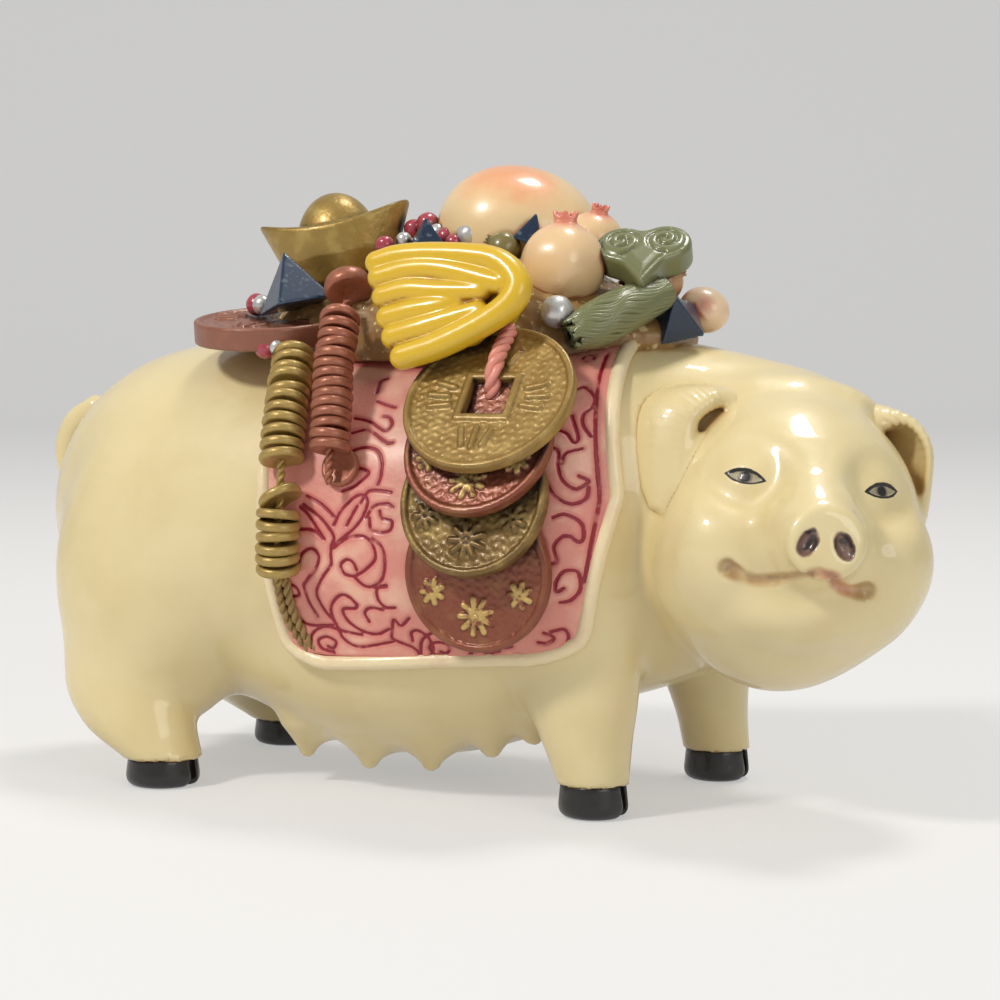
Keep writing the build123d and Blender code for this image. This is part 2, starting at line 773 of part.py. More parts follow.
def make_citron():
    """A fingered citron: closed fingers in two rows that grow out of one stem end."""
    stem_end = Cylinder(citron_body_radius, citron_body_height)
    stem_end = chamfer(stem_end.edges(), citron_body_chamfer)
    fruit = Pos(on_heap(*citron_body_place_shares)) * stem_end
    for row in citron_finger_shares:
        root = on_heap(*row[:3])
        tip = on_heap(*row[3:6])
        radius = citron_finger_radius * row[6]
        along = tip - root
        finger = Cylinder(radius, along.length + radius * 2)
        finger = fillet(finger.edges(), radius * citron_round_share)
        fruit = fruit + Plane(origin=(root + tip) / 2, z_dir=along) * finger
    return main_solid(fruit)


def make_sceptre():
    """The sceptre's cloud-shaped head: two lobes and a point, on a short neck."""
    lobes = Pos(-sceptre_lobe_spacing / 2, 0) * Circle(sceptre_lobe_radius)
    lobes = lobes + Pos(sceptre_lobe_spacing / 2, 0) * Circle(sceptre_lobe_radius)
    wing = sceptre_lobe_spacing / 2 + sceptre_lobe_radius * sceptre_wing_share
    low = -sceptre_lobe_radius * sceptre_wing_share
    tip = -sceptre_lobe_radius - sceptre_point_reach
    point = make_face(Polyline((-wing, low), (wing, low), (0, tip), close=True))
    middle = Rectangle(sceptre_lobe_spacing, sceptre_lobe_radius * sceptre_fill_share * 2)
    head = extrude(lobes + point + middle, amount=sceptre_thickness / 2, both=True)
    neck = Cylinder(sceptre_neck_radius, sceptre_neck_length)
    head = head + Pos(0, 0, -(sceptre_thickness + sceptre_neck_length) / 2) * neck
    return Pos(on_heap(*sceptre_place_shares)) * Rot(*sceptre_turn) * head


def make_tassel():
    """The tassel's outer shape, a flat brush that spreads from the neck down over the heap."""
    points = [on_heap(*row[:3]) for row in tassel_section_shares]
    ovals = []
    for section, row in zip(planes_along(points, Vector(0, 0, 1)), tassel_section_shares):
        ovals.append(section * Ellipse(tassel_size * row[3] / 2, tassel_size * row[4] / 2))
    return loft(ovals)


def make_gem(share, place, turn):
    """A four-sided pyramid."""
    base = Rectangle(gem_base * share, gem_base * share)
    tip = Rectangle(gem_tip, gem_tip)
    gem = loft([base, Pos(0, 0, gem_height * share) * tip], ruled=True)
    return Pos(on_heap(*place)) * Rot(*turn) * gem


def make_flat_coin():
    """The large coin at the heap's corner, with a shallow field inside its rim."""
    coin = Cylinder(flat_coin_radius, flat_coin_thickness)
    field = Cylinder(flat_coin_radius - flat_coin_rim, flat_coin_dip * 2)
    coin = coin - Pos(0, 0, flat_coin_thickness / 2) * field
    return Pos(on_heap(*flat_coin_place_shares)) * Rot(*flat_coin_turn) * coin


def make_bed():
    """The mound under the treasures that binds them to the cloth, lofted through upright ovals."""
    ovals = []
    for x_share, height_share, width_share in bed_section_shares:
        plane = Plane(origin=on_heap(x_share, 0, 0), x_dir=(0, 1, 0), z_dir=(1, 0, 0))
        ovals.append(plane * Ellipse(heap_width * width_share / 2, heap_height * height_share))
    return loft(ovals)


# The pig is one casting: trunk, legs, udder and head
add_node("pig_body", [make_body_mass() + make_head_mass()])
add_node("ear_right", [make_ear(-1)])
add_node("ear_left", [make_ear(1)])
add_node("tail", [make_tail()])
for side in ("right", "left"):
    rear_end = rear_leg_shares[side][-1]
    front_end = front_leg_shares[side][-1]
    add_node("hoof_rear_" + side, [make_hoof(rear_end, rear_hoof_length, rear_hoof_width)])
    add_node("hoof_front_" + side, [make_hoof(front_end, front_hoof_length, front_hoof_width)])

# The saddle cloth lies on the casting
panel, hem = make_cloth()
add_node("cloth_panel", [panel])
add_node("cloth_hem", [hem])

# The strings of coins, threaded on their cords
copper_route = string_route(copper_route_shares)
brass_route = string_route(brass_route_shares)
add_node("copper_string_cord", [cord_on(copper_route, copper_cord_runs)], on_cloth=True)
add_node("brass_string_cord", [cord_on(brass_route, brass_cord_runs)], on_cloth=True)
add_node("copper_string_coins", make_copper_coins(copper_route), on_cloth=True)
add_node("brass_string_coins", make_brass_coins(brass_route), on_cloth=True)
add_node("copper_top_coin", [make_top_coin()], on_cloth=True)
add_node("copper_end_coin", [make_end_coin()], on_cloth=True)
add_node("brown_cord", make_brown_cord())

# Each treasure gives way to the pig, the cloth and the treasures set before it
for index, name in enumerate(["top", "second", "third", "lowest"]):
    add_node("hanging_coin_" + name, [make_hanging_coin(index)], on_cloth=True)
add_node("tie_cord", [make_tie_cord()], on_cloth=True)
add_node("citron", [make_citron()], on_cloth=True)
add_node("flat_coin", [make_flat_coin()])
add_node("ingot", [make_ingot()], on_cloth=True)
for name, values in pomegranate_shares.items():
    add_node(name, [make_pomegranate(*values)], on_cloth=True)
large_peach = make_peach(peach_lobe_radius, peach_lobe_spacing, peach_place_shares, peach_turn)
add_node("peach_large", [large_peach], on_cloth=True)
small_peach = make_peach(
    small_peach_lobe_radius, small_peach_lobe_spacing, small_peach_place_shares, small_peach_turn
)
add_node("peach_small", [small_peach])
add_node("sceptre_head", [make_sceptre()], on_cloth=True)
add_node("sceptre_tassel", [make_tassel()], on_cloth=True)
for name, values in gem_shares.items():
    add_node(name, [make_gem(*values)])
add_node("pearls", make_balls(pearl_radius, pearl_shares))
add_node("beads", make_balls(bead_radius, bead_shares))
add_node("far_coins", make_far_coins(), on_cloth=True)

# The bed fills what is left under the heap
add_node("heap_bed", [make_bed()])

for name, shape in nodes.items():
    export_step(shape, "parts/" + name + ".step")
whole_box = Compound(list(nodes.values())).bounding_box()
print("nodes", len(nodes), "box", whole_box)
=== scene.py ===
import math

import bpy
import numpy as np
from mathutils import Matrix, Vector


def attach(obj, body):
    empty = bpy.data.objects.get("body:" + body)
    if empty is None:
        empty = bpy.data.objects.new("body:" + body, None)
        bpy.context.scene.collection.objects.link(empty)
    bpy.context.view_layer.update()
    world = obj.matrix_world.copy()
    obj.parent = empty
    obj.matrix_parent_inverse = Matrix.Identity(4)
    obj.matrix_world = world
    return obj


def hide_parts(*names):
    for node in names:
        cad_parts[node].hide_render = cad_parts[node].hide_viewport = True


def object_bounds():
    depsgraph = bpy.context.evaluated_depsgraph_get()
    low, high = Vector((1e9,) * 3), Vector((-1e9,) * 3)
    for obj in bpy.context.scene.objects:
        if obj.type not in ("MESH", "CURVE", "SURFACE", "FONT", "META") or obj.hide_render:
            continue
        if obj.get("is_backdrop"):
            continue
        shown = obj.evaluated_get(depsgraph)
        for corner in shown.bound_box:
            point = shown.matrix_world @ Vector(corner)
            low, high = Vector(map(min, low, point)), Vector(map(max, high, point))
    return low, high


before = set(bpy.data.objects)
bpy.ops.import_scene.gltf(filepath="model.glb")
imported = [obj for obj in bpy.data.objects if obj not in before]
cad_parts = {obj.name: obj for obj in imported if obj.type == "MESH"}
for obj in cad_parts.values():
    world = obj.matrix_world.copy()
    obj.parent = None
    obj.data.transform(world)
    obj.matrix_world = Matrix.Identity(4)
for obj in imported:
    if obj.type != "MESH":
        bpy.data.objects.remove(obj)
cad_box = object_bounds()

# %% [markdown]
# # A resin pig with a saddle cloth and a heap of treasures
#
# The real object is an ornament cast in resin: ivory-glazed pig, pink cloth with incised scrolls, and
# small treasures that were modelled one by one, painted and glued on. Every edge on it is soft, because
# it came out of a rubber mould and was glazed. So the rounded pieces here are modelled as distance
# fields, the way a sculptor adds and takes away clay, and then skinned. Strings, tassel and cords
# repeat one small shape along a line, which Geometry Nodes do.

mm = 0.001
figurine_length = 150.0
trunk_width = 61.0
back_height = 71.5
middle_x = 2.6
spine_y = 3.1
heap_length = 84.0
heap_width = 54.0
heap_height = 27.0
coarse = 1.0


def on_figurine(x_share, y_share, z_share):
    """A place in millimetres from shares of the figurine's length, trunk width and back height."""
    x = middle_x + x_share * figurine_length
    return np.array([x, spine_y + y_share * trunk_width, z_share * back_height])


def on_heap(x_share, y_share, z_share):
    """A place in millimetres from shares of the room that the heap takes on the back."""
    x = middle_x + x_share * heap_length
    return np.array([x, spine_y + y_share * heap_width, back_height + z_share * heap_height])


print("CAD box in mm:", [[round(v / mm, 1) for v in corner] for corner in cad_box])

# %% [markdown]
# ## Clay: distance fields
#
# A field gives, for many points at once, how far each lies outside a shape (below zero is inside).
# Two fields flow into each other with a soft seam, or one is carved out of the other.

# %% Basic fields


def norm(vectors):
    return np.sqrt((vectors * vectors).sum(axis=-1))


def ellipsoid(points, centre, radii):
    unit = (points - centre) / radii
    size = np.maximum(norm(unit), 1e-6)
    slope = np.maximum(norm(unit / radii), 1e-6)
    return size * (size - 1) / slope


def ball(points, centre, radius):
    return norm(points - centre) - radius


def join(first, second, reach):
    """Both shapes, with a seam that is filled over the given reach."""
    gap = np.maximum(reach - np.abs(first - second), 0)
    return np.minimum(first, second) - gap * gap / (4 * reach)


def carve(first, second, reach):
    """The first shape without the second, with an edge rounded over the given reach."""
    return -join(-first, second, reach)


def keep(first, second, reach):
    """What both shapes share, with rounded edges."""
    return -join(-first, -second, reach)


def rod(points, places, radii, reach=0.0):
    """A rod through places, each with its own radius."""
    field = None
    for start, end, first, last in zip(places, places[1:], radii, radii[1:]):
        along = end - start
        part = np.clip((points - start) @ along / max(along @ along, 1e-9), 0, 1)
        away = norm(points - start - part[:, None] * along) - (first + part * (last - first))
        if field is None:
            field = away
        else:
            field = join(field, away, reach) if reach else np.minimum(field, away)
    return field


def curve_at(rows, spots):
    """A smooth curve that passes through rows of numbers, read between them: 0 is the first row."""
    rows = np.asarray(rows, float)
    index = np.clip(spots.astype(int), 0, len(rows) - 2)
    part = (spots - index)[:, None]
    slopes = np.gradient(rows, axis=0)
    before, after = rows[index], rows[index + 1]
    rise, fall = slopes[index], slopes[index + 1]
    square, cube = part ** 2, part ** 3
    return (
        (2 * cube - 3 * square + 1) * before
        + (cube - 2 * square + part) * rise
        + (3 * square - 2 * cube) * after
        + (cube - square) * fall
    )


def curve_through(rows, count):
    """Rows of numbers made smooth, as count rows on the curve that passes through each of them."""
    return curve_at(rows, np.linspace(0, len(rows) - 1, count))


def along_table(x, places, values):
    """Values of a table read at x, on a smooth line through the table's rows."""
    fine = curve_through(np.column_stack([places, values]), 12 * len(places))
    order = np.argsort(fine[:, 0])
    return np.interp(x, fine[order, 0], fine[order, 1])


def leaf(points, rows, across, thickness, bulge):
    """A bent leaf. Each row is a place and a half width; the leaf bulges to the side of its normal."""
    rows = curve_through(rows, 26)
    places, widths = rows[:, :3], np.maximum(rows[:, 3], thickness)
    field = None
    for start, end, first, last in zip(places, places[1:], widths, widths[1:]):
        along = end - start
        length = np.sqrt(along @ along)
        way = along / length
        side = across - way * (across @ way)
        side = side / np.sqrt(side @ side)
        normal = np.cross(side, way)
        offset = points - start
        part = np.clip(offset @ way / length, 0, 1)
        width = first + part * (last - first)
        u = offset @ side
        v = offset @ normal + bulge * (u / width) ** 2
        beyond = offset @ way - part * length
        flat = np.maximum(np.abs(u) - (width - thickness), 0)
        away = np.sqrt(flat ** 2 + v ** 2 + beyond ** 2) - thickness
        field = away if field is None else np.minimum(field, away)
    return field


def turned(origin, turn):
    """A local frame: its origin and its three directions, turned about X, then Y, then Z."""
    rx, ry, rz = [math.radians(angle) for angle in turn]
    about_x = np.array([[1, 0, 0], [0, math.cos(rx), -math.sin(rx)], [0, math.sin(rx), math.cos(rx)]])
    about_y = np.array([[math.cos(ry), 0, math.sin(ry)], [0, 1, 0], [-math.sin(ry), 0, math.cos(ry)]])
    about_z = np.array([[math.cos(rz), -math.sin(rz), 0], [math.sin(rz), math.cos(rz), 0], [0, 0, 1]])
    return np.asarray(origin, float), about_x @ about_y @ about_z


def into(points, spot):
    """Points in a local frame's own directions."""
    origin, axes = spot
    return (points - origin) @ axes


def out_of(points, spot):
    """Points of a local frame back in the figurine's directions."""
    origin, axes = spot
    return points @ axes.T + origin


# %% [markdown]
# ## Skinning a field
#
# The field is sampled on a grid, finely only where the surface may be. Each grid cell that the surface
# crosses gets one vertex, and each crossed grid edge one quad. The vertices are then moved onto the
# true surface, so that the skin is smooth.

# %% The mesher


def neighbours(axis):
    """The parts of a grid that pair each place with the next one along an axis."""
    first = [slice(None)] * 3
    second = [slice(None)] * 3
    first[axis], second[axis] = slice(0, -1), slice(1, None)
    return tuple(first), tuple(second)


def sampled(field, low, counts, cell):
    """Field values on a grid. Blocks far from the surface keep the value at their middle."""
    block = 4
    blocks = counts // block
    index = np.stack(np.meshgrid(*[np.arange(n) for n in blocks], indexing="ij"), -1)
    middles = low + (index * block + (block - 1) / 2) * cell
    rough = field(middles.reshape(-1, 3)).reshape(blocks)
    near = np.abs(rough) < block * cell * 1.6
    sign = rough < 0
    for axis in range(3):
        first, second = neighbours(axis)
        changed = sign[first] != sign[second]
        near[first] |= changed
        near[second] |= changed
    for axis in range(3):
        first, second = neighbours(axis)
        before = near.copy()
        near[first] |= before[second]
        near[second] |= before[first]
    values = np.repeat(np.repeat(np.repeat(rough, block, 0), block, 1), block, 2)
    starts = np.argwhere(near) * block
    inner = np.stack(np.meshgrid(*[np.arange(block)] * 3, indexing="ij"), -1).reshape(-1, 3)
    nodes = (starts[:, None, :] + inner[None, :, :]).reshape(-1, 3)
    for begin in range(0, len(nodes), 400000):
        some = nodes[begin:begin + 400000]
        values[some[:, 0], some[:, 1], some[:, 2]] = field(low + some * cell)
    return values


def slope_of(field, points, step):
    """The field's value and its slope at points."""
    value = field(points)
    slope = np.empty_like(points)
    for axis in range(3):
        shift = np.zeros(3)
        shift[axis] = step
        slope[:, axis] = (field(points + shift) - value) / step
    return value, slope


class Lens:
    """Makes cells smaller around a middle: within the radius, space is stretched by the strength."""

    def __init__(self, middle, radius, strength):
        self.middle = middle
        self.radius = radius
        self.strength = strength
        self.spread = radius * (strength - 1)

    def back(self, points):
        """Real places from stretched ones."""
        offset = points - self.middle
        reach = np.maximum(norm(offset), 1e-9)
        real = np.where(reach < self.radius * self.strength, reach / self.strength, reach - self.spread)
        return self.middle + offset * (real / reach)[:, None], reach / real


def skin(field, low, high, cell, lens=None):
    """Vertices, quads and outward normals of the surface where a field is zero."""
    cell = cell * coarse
    spread = lens.spread if lens else 0
    low = np.asarray(low, float) - cell * 2 - spread
    counts = (np.ceil((np.asarray(high, float) + spread - low) / cell / 4).astype(int) + 1) * 4

    def stretched(points):
        if lens is None:
            return field(points)
        real, growth = lens.back(points)
        return field(real) * growth

    values = sampled(stretched, low, counts, cell)
    inside = values < 0
    corners = [(x, y, z) for x in (0, 1) for y in (0, 1) for z in (0, 1)]
    size = np.array(inside.shape) - 1
    total = np.zeros(size, int)
    for x, y, z in corners:
        total += inside[x:x + size[0], y:y + size[1], z:z + size[2]]
    mixed = (total > 0) & (total < 8)
    number = np.full(size, -1)
    number[mixed] = np.arange(mixed.sum())
    cells = np.argwhere(mixed)
    place = np.zeros((len(cells), 3))
    crossings = np.zeros(len(cells))
    for corner in corners:
        for axis in range(3):
            if corner[axis] == 1:
                continue
            other = list(corner)
            other[axis] = 1
            start, end = np.array(corner), np.array(other)
            one = values[tuple((cells + start).T)]
            two = values[tuple((cells + end).T)]
            cross = (one < 0) != (two < 0)
            part = np.where(cross, one / np.where(cross, one - two, 1), 0)[:, None]
            place += np.where(cross[:, None], start + part * (end - start), 0)
            crossings += cross
    vertices = low + (cells + place / crossings[:, None]) * cell
    if lens:
        vertices = lens.back(vertices)[0]
        cell = cell / lens.strength
    quads = []
    for axis in range(3):
        u, v = (axis + 1) % 3, (axis + 2) % 3
        first = [slice(1, -1)] * 3
        second = [slice(1, -1)] * 3
        second[axis] = slice(2, None)
        here, there = inside[tuple(first)], inside[tuple(second)]
        nodes = np.argwhere(here != there) + 1
        step_u, step_v = np.eye(3, dtype=int)[u], np.eye(3, dtype=int)[v]
        ring = [nodes, nodes - step_u, nodes - step_u - step_v, nodes - step_v]
        quad = np.stack([number[tuple(corner.T)] for corner in ring], axis=1)
        back = ~inside[tuple(nodes.T)]
        quad[back] = quad[back][:, ::-1]
        quads.append(quad)
    for _ in range(2):
        value, slope = slope_of(field, vertices, cell / 8)
        square = np.maximum((slope * slope).sum(axis=1), 0.05)
        move = (value / square)[:, None] * slope
        far = norm(move)
        move *= np.minimum(1, cell / np.maximum(far, 1e-9))[:, None]
        vertices = vertices - move
    _, slope = slope_of(field, vertices, cell / 8)
    normals = slope / np.maximum(norm(slope), 1e-9)[:, None]
    return vertices, np.concatenate(quads), normals


# %% [markdown]
# ## Pieces
#
# Each piece rides on the one body, takes the place of its CAD node and gets its paint. A glaze lies
# thicker and darker in the hollows of such a casting, and shade falls there, so every vertex also gets
# two numbers: how deep it lies in a recess, which sets glaze and painted shade, and how much it stands
# out on a ridge.

# %% Forms and pieces
forms = {}


def form(name, field, low, high):
    """Remembers a field with the box that holds it."""
    forms[name] = (field, np.asarray(low, float), np.asarray(high, float))


def surroundings(points):
    """The distance from points to the nearest of all forms, as far as 4 mm away."""
    nearest = np.full(len(points), 4.0)
    for field, low, high in forms.values():
        near = ((points > low - 4) & (points < high + 4)).all(axis=1)
        if near.any():
            nearest[near] = np.minimum(nearest[near], field(points[near]))
    return nearest


def relief_of(vertices, normals):
    """How deep each vertex lies in a recess, and how far out on a ridge, each from 0 to 1."""
    recess = np.zeros(len(vertices))
    for reach in (0.5, 1.2, 2.8):
        recess += np.clip((reach - surroundings(vertices + normals * reach)) / reach, 0, 1) / 3
    depth = 0.6
    ridge = np.clip((depth + surroundings(vertices - normals * depth)) / depth, 0, 1)
    return recess, ridge


def mesh_piece(name, vertices, faces, paint, **attributes):
    """A mesh object in metres from vertices in millimetres, riding on the body."""
    faces = np.asarray(faces)
    mesh = bpy.data.meshes.new(name)
    mesh.vertices.add(len(vertices))
    mesh.loops.add(faces.size)
    mesh.polygons.add(len(faces))
    mesh.vertices.foreach_set("co", (np.asarray(vertices) * mm).astype(np.float32).ravel())
    mesh.loops.foreach_set("vertex_index", faces.astype(np.int32).ravel())
    mesh.polygons.foreach_set("loop_start", np.arange(0, faces.size, faces.shape[1], dtype=np.int32))
    mesh.polygons.foreach_set("use_smooth", np.full(len(faces), True))
    mesh.update(calc_edges=True)
    mesh.validate()
    for label, values in attributes.items():
        layer = mesh.attributes.new(label, "FLOAT", "POINT")
        layer.data.foreach_set("value", np.asarray(values, np.float32))
    mount(name, mesh, paint)


def mount(name, mesh, paint):
    """Makes an object of a mesh. It rides on the body and stands for the CAD node of its name."""
    mesh.materials.clear()
    mesh.materials.append(paint)
    piece = bpy.data.objects.new(name, mesh)
    bpy.context.scene.collection.objects.link(piece)
    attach(piece, "root")
    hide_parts(name)


def skinned(name, cell, paint, lens=None, **extra):
    """A piece skinned from its form, with its recess and ridge numbers."""
    field, low, high = forms[name]
    vertices, quads, normals = skin(field, low, high, cell, lens)
    recess, ridge = relief_of(vertices, normals)
    extra = {label: measure(vertices) for label, measure in extra.items()}
    print(name, "quads", len(quads))
    mesh_piece(name, vertices, quads, paint, recess=recess, ridge=ridge, **extra)


# %% [markdown]
# ## The pig
#
# Head, trunk and legs are one casting. The trunk is a barrel whose section changes along its length;
# haunches, belly, teats and legs grow out of it with soft seams. The head has its own directions:
# ahead out of the snout, to the pig's left, and up.

# %% Trunk, haunches, belly and legs
trunk_shares = np.array([
    (-0.505, 0.68, 0.53, 0.13),
    (-0.495, 0.755, 0.46, 0.30),
    (-0.463, 0.850, 0.34, 0.50),
    (-0.427, 0.912, 0.27, 0.64),
    (-0.373, 0.965, 0.21, 0.79),
    (-0.293, 0.996, 0.17, 0.92),
    (-0.187, 1.000, 0.165, 0.98),
    (-0.053, 1.000, 0.145, 1.00),
    (0.080, 1.000, 0.170, 0.985),
    (0.180, 0.999, 0.220, 0.92),
    (0.240, 0.992, 0.260, 0.66),
    (0.300, 0.968, 0.300, 0.56),
    (0.373, 0.930, 0.370, 0.50),
    (0.425, 0.880, 0.480, 0.32),
])
udder_radii = np.array([32.0, 26.0, 18.0])
udder_place = on_figurine(-0.060, 0.0, 0.315)
haunch_radii = np.array([17.75, 15.0, 25.0])
teat_radius = 3.5
teat_tip_radius = 1.2
teat_spread = 12.0
teat_shares = [(-0.162, 0.105), (-0.087, 0.092), (-0.014, 0.098), (0.056, 0.140), (0.104, 0.175)]
leg_rows = {
    "rear_right": (23.0, 18.0, [
        (-0.345, -0.270, 0.42, 1.05, 1.05),
        (-0.355, -0.305, 0.24, 1.00, 1.02),
        (-0.335, -0.345, 0.135, 0.84, 0.86),
        (-0.300, -0.369, 0.063, 0.56, 0.66),
    ]),
    "rear_left": (23.0, 18.0, [
        (-0.350, 0.250, 0.42, 1.05, 1.05),
        (-0.360, 0.280, 0.24, 1.00, 1.02),
        (-0.340, 0.310, 0.135, 0.84, 0.86),
        (-0.305, 0.325, 0.063, 0.56, 0.66),
    ]),
    "front_right": (19.0, 15.0, [
        (0.160, -0.262, 0.45, 1.05, 1.05),
        (0.165, -0.275, 0.28, 1.00, 1.00),
        (0.176, -0.285, 0.16, 0.74, 0.82),
        (0.184, -0.290, 0.070, 0.57, 0.68),
    ]),
    "front_left": (19.0, 15.0, [
        (0.215, 0.230, 0.45, 1.05, 1.05),
        (0.222, 0.265, 0.28, 0.80, 1.00),
        (0.228, 0.290, 0.16, 0.62, 0.82),
        (0.232, 0.305, 0.070, 0.57, 0.68),
    ]),
}


def oval_distance(first, second, first_radius, second_radius):
    """The distance from points in a plane to an oval around its middle."""
    size = np.maximum(np.sqrt((first / first_radius) ** 2 + (second / second_radius) ** 2), 1e-6)
    slope = np.sqrt((first / first_radius ** 2) ** 2 + (second / second_radius ** 2) ** 2)
    return size * (size - 1) / np.maximum(slope, 1e-6)


def trunk(points):
    share = (points[:, 0] - middle_x) / figurine_length
    held = np.clip(share, trunk_shares[0, 0], trunk_shares[-1, 0])
    top = along_table(held, trunk_shares[:, 0], trunk_shares[:, 1]) * back_height
    bottom = along_table(held, trunk_shares[:, 0], trunk_shares[:, 2]) * back_height
    width = along_table(held, trunk_shares[:, 0], trunk_shares[:, 3]) * trunk_width
    middle = (top + bottom) / 2
    oval = oval_distance(points[:, 1] - spine_y, points[:, 2] - middle, width / 2, (top - bottom) / 2)
    beyond = np.maximum(trunk_shares[0, 0] - share, share - trunk_shares[-1, 0]) * figurine_length
    return keep(oval, beyond, 2.5)


def leg(points, length, width, rows):
    rows = np.array(rows)[::-1]
    heights = rows[:, 2] * back_height
    z = np.clip(points[:, 2], heights[0], heights[-1])
    middle = middle_x + along_table(z, heights, rows[:, 0]) * figurine_length
    side = spine_y + along_table(z, heights, rows[:, 1]) * trunk_width
    half_length = along_table(z, heights, rows[:, 3]) * length / 2
    half_width = along_table(z, heights, rows[:, 4]) * width / 2
    oval = oval_distance(points[:, 0] - middle, points[:, 1] - side, half_length, half_width)
    beyond = np.maximum(heights[0] - points[:, 2], points[:, 2] - heights[-1])
    return np.maximum(oval, beyond)


def body(points):
    """Trunk, haunches, belly, teats and legs."""
    field = trunk(points)
    field = join(field, ellipsoid(points, udder_place, udder_radii), 5.0)
    for side in (-1, 1):
        haunch = on_figurine(-0.335, side * 0.235, 0.46)
        field = join(field, ellipsoid(points, haunch, haunch_radii), 3.0)
    for x_share, z_share in teat_shares:
        for side in (-1, 1):
            teat = on_figurine(x_share, 0, z_share) + np.array([0, side * teat_spread, 0])
            ends = [teat + np.array([0, 0, 2.0]), teat - np.array([0, 0, 2.2])]
            field = join(field, rod(points, ends, [teat_radius, teat_tip_radius]), 4.4)
    for name, (length, width, rows) in leg_rows.items():
        field = join(field, leg(points, length, width, rows), 2.4 if "rear" in name else 3.2)
    return field


# %% [markdown]
# The head is round with full cheeks and jowls. The snout is a short cone with a flat disc and two
# nostrils. The eyes sit in shallow sockets behind two lids each, and the mouth is a soft, slightly
# crooked groove that runs under the snout and ends in a dimple in each cheek.

# %% The head
head_turn = math.radians(-57.0)
head_roll = math.radians(6.7)
head_ahead = np.array([math.cos(head_turn), math.sin(head_turn), 0.0])
flat_left = np.array([-math.sin(head_turn), math.cos(head_turn), 0.0])
head_up = np.array([0.0, 0.0, 1.0]) * math.cos(head_roll) + flat_left * math.sin(head_roll)
head_up = head_up / norm(head_up)
head_left = np.cross(head_up, head_ahead)
head = (on_figurine(0.364, -0.131, 0.598), np.column_stack([head_ahead, head_left, head_up]))
gaze_turn = (0.0, -5.3, -5.0)
gaze = (head[0], head[1] @ turned(np.zeros(3), gaze_turn)[1])
skull_radii = np.array([19.25, 19.5, 21.0])
eye_width = 2.95
eye_height = 0.98
eye_slant = 0.13
eye_radius = 4.6
eye_places = {-1: np.array([14.2, -9.6, 6.6]), 1: np.array([14.2, 9.6, 6.6])}
mouth_rows = {
    -1: [
        (22.5, -0.6, -6.0), (21.0, -2.8, -6.5), (19.0, -5.2, -7.3),
        (18.0, -7.6, -7.6), (17.2, -9.8, -7.0), (16.6, -11.6, -6.4),
    ],
    1: [
        (22.5, -0.6, -6.0), (21.2, 1.4, -6.3), (19.9, 3.3, -7.1),
        (18.8, 5.1, -7.7), (18.0, 6.8, -7.8), (17.3, 8.4, -7.6),
    ],
}
nostril_radii = np.array([1.15, 1.30, 1.75])
nostril_spread = 2.55
nostril_lean = 0.24
crown_rows = np.array([
    (-1.8, 13.0, 18.4), (0.0, 6.5, 20.2), (0.8, 0.0, 20.9), (0.0, -6.5, 20.2), (-1.8, -13.0, 18.4),
])
crown_radius = 1.4
bridge_rows = np.array([(12.0, 0, 3.6), (18.5, 0, 1.4), (24.4, 0, -0.8)])
muzzle_rows = np.array([(13.0, 0, -0.6), (20.0, 0, -1.2), (25.2, 0, -1.8)])


def eye_frame(side):
    """An eye's middle and its own directions: outward, along the lids to the pig's left, and up."""
    place = eye_places[side]
    outward = place / skull_radii ** 2
    outward = outward / norm(outward)
    outward = outward + np.array([0.25, 0.0, 0.0])
    outward = outward / norm(outward)
    along = np.cross([0.0, 0.0, 1.0], outward)
    along = along / norm(along)
    up = np.cross(outward, along)
    slant = side * eye_slant
    tilted = along * math.cos(slant) + up * math.sin(slant)
    return place, np.column_stack([outward, tilted, np.cross(outward, tilted)])


def eyes(points, field):
    """Adds sockets, lids and eyeballs to the head's field, in the head's own directions."""
    for side in (-1, 1):
        local = into(points, eye_frame(side))
        socket = ellipsoid(local, np.array([3.9, 0.0, 0.3]), np.array([3.9, 5.8, 4.3]))
        field = carve(field, socket, 4.6)
        centre = np.array([-3.9, 0.0, 0.0])
        lids = ball(local, centre, eye_radius + 0.42)
        share = np.clip(np.abs(local[:, 1]) / eye_width, 0, 1.3)
        height = eye_height * (1 - share ** 2.2)
        opening = np.abs(local[:, 2] - 0.05) - height
        opening = np.maximum(opening, -local[:, 0] - 1.5)
        lids = carve(lids, opening * 0.8, 0.35)
        field = join(field, lids, 2.4)
        field = join(field, ball(local, centre, eye_radius), 0.12)
    return field


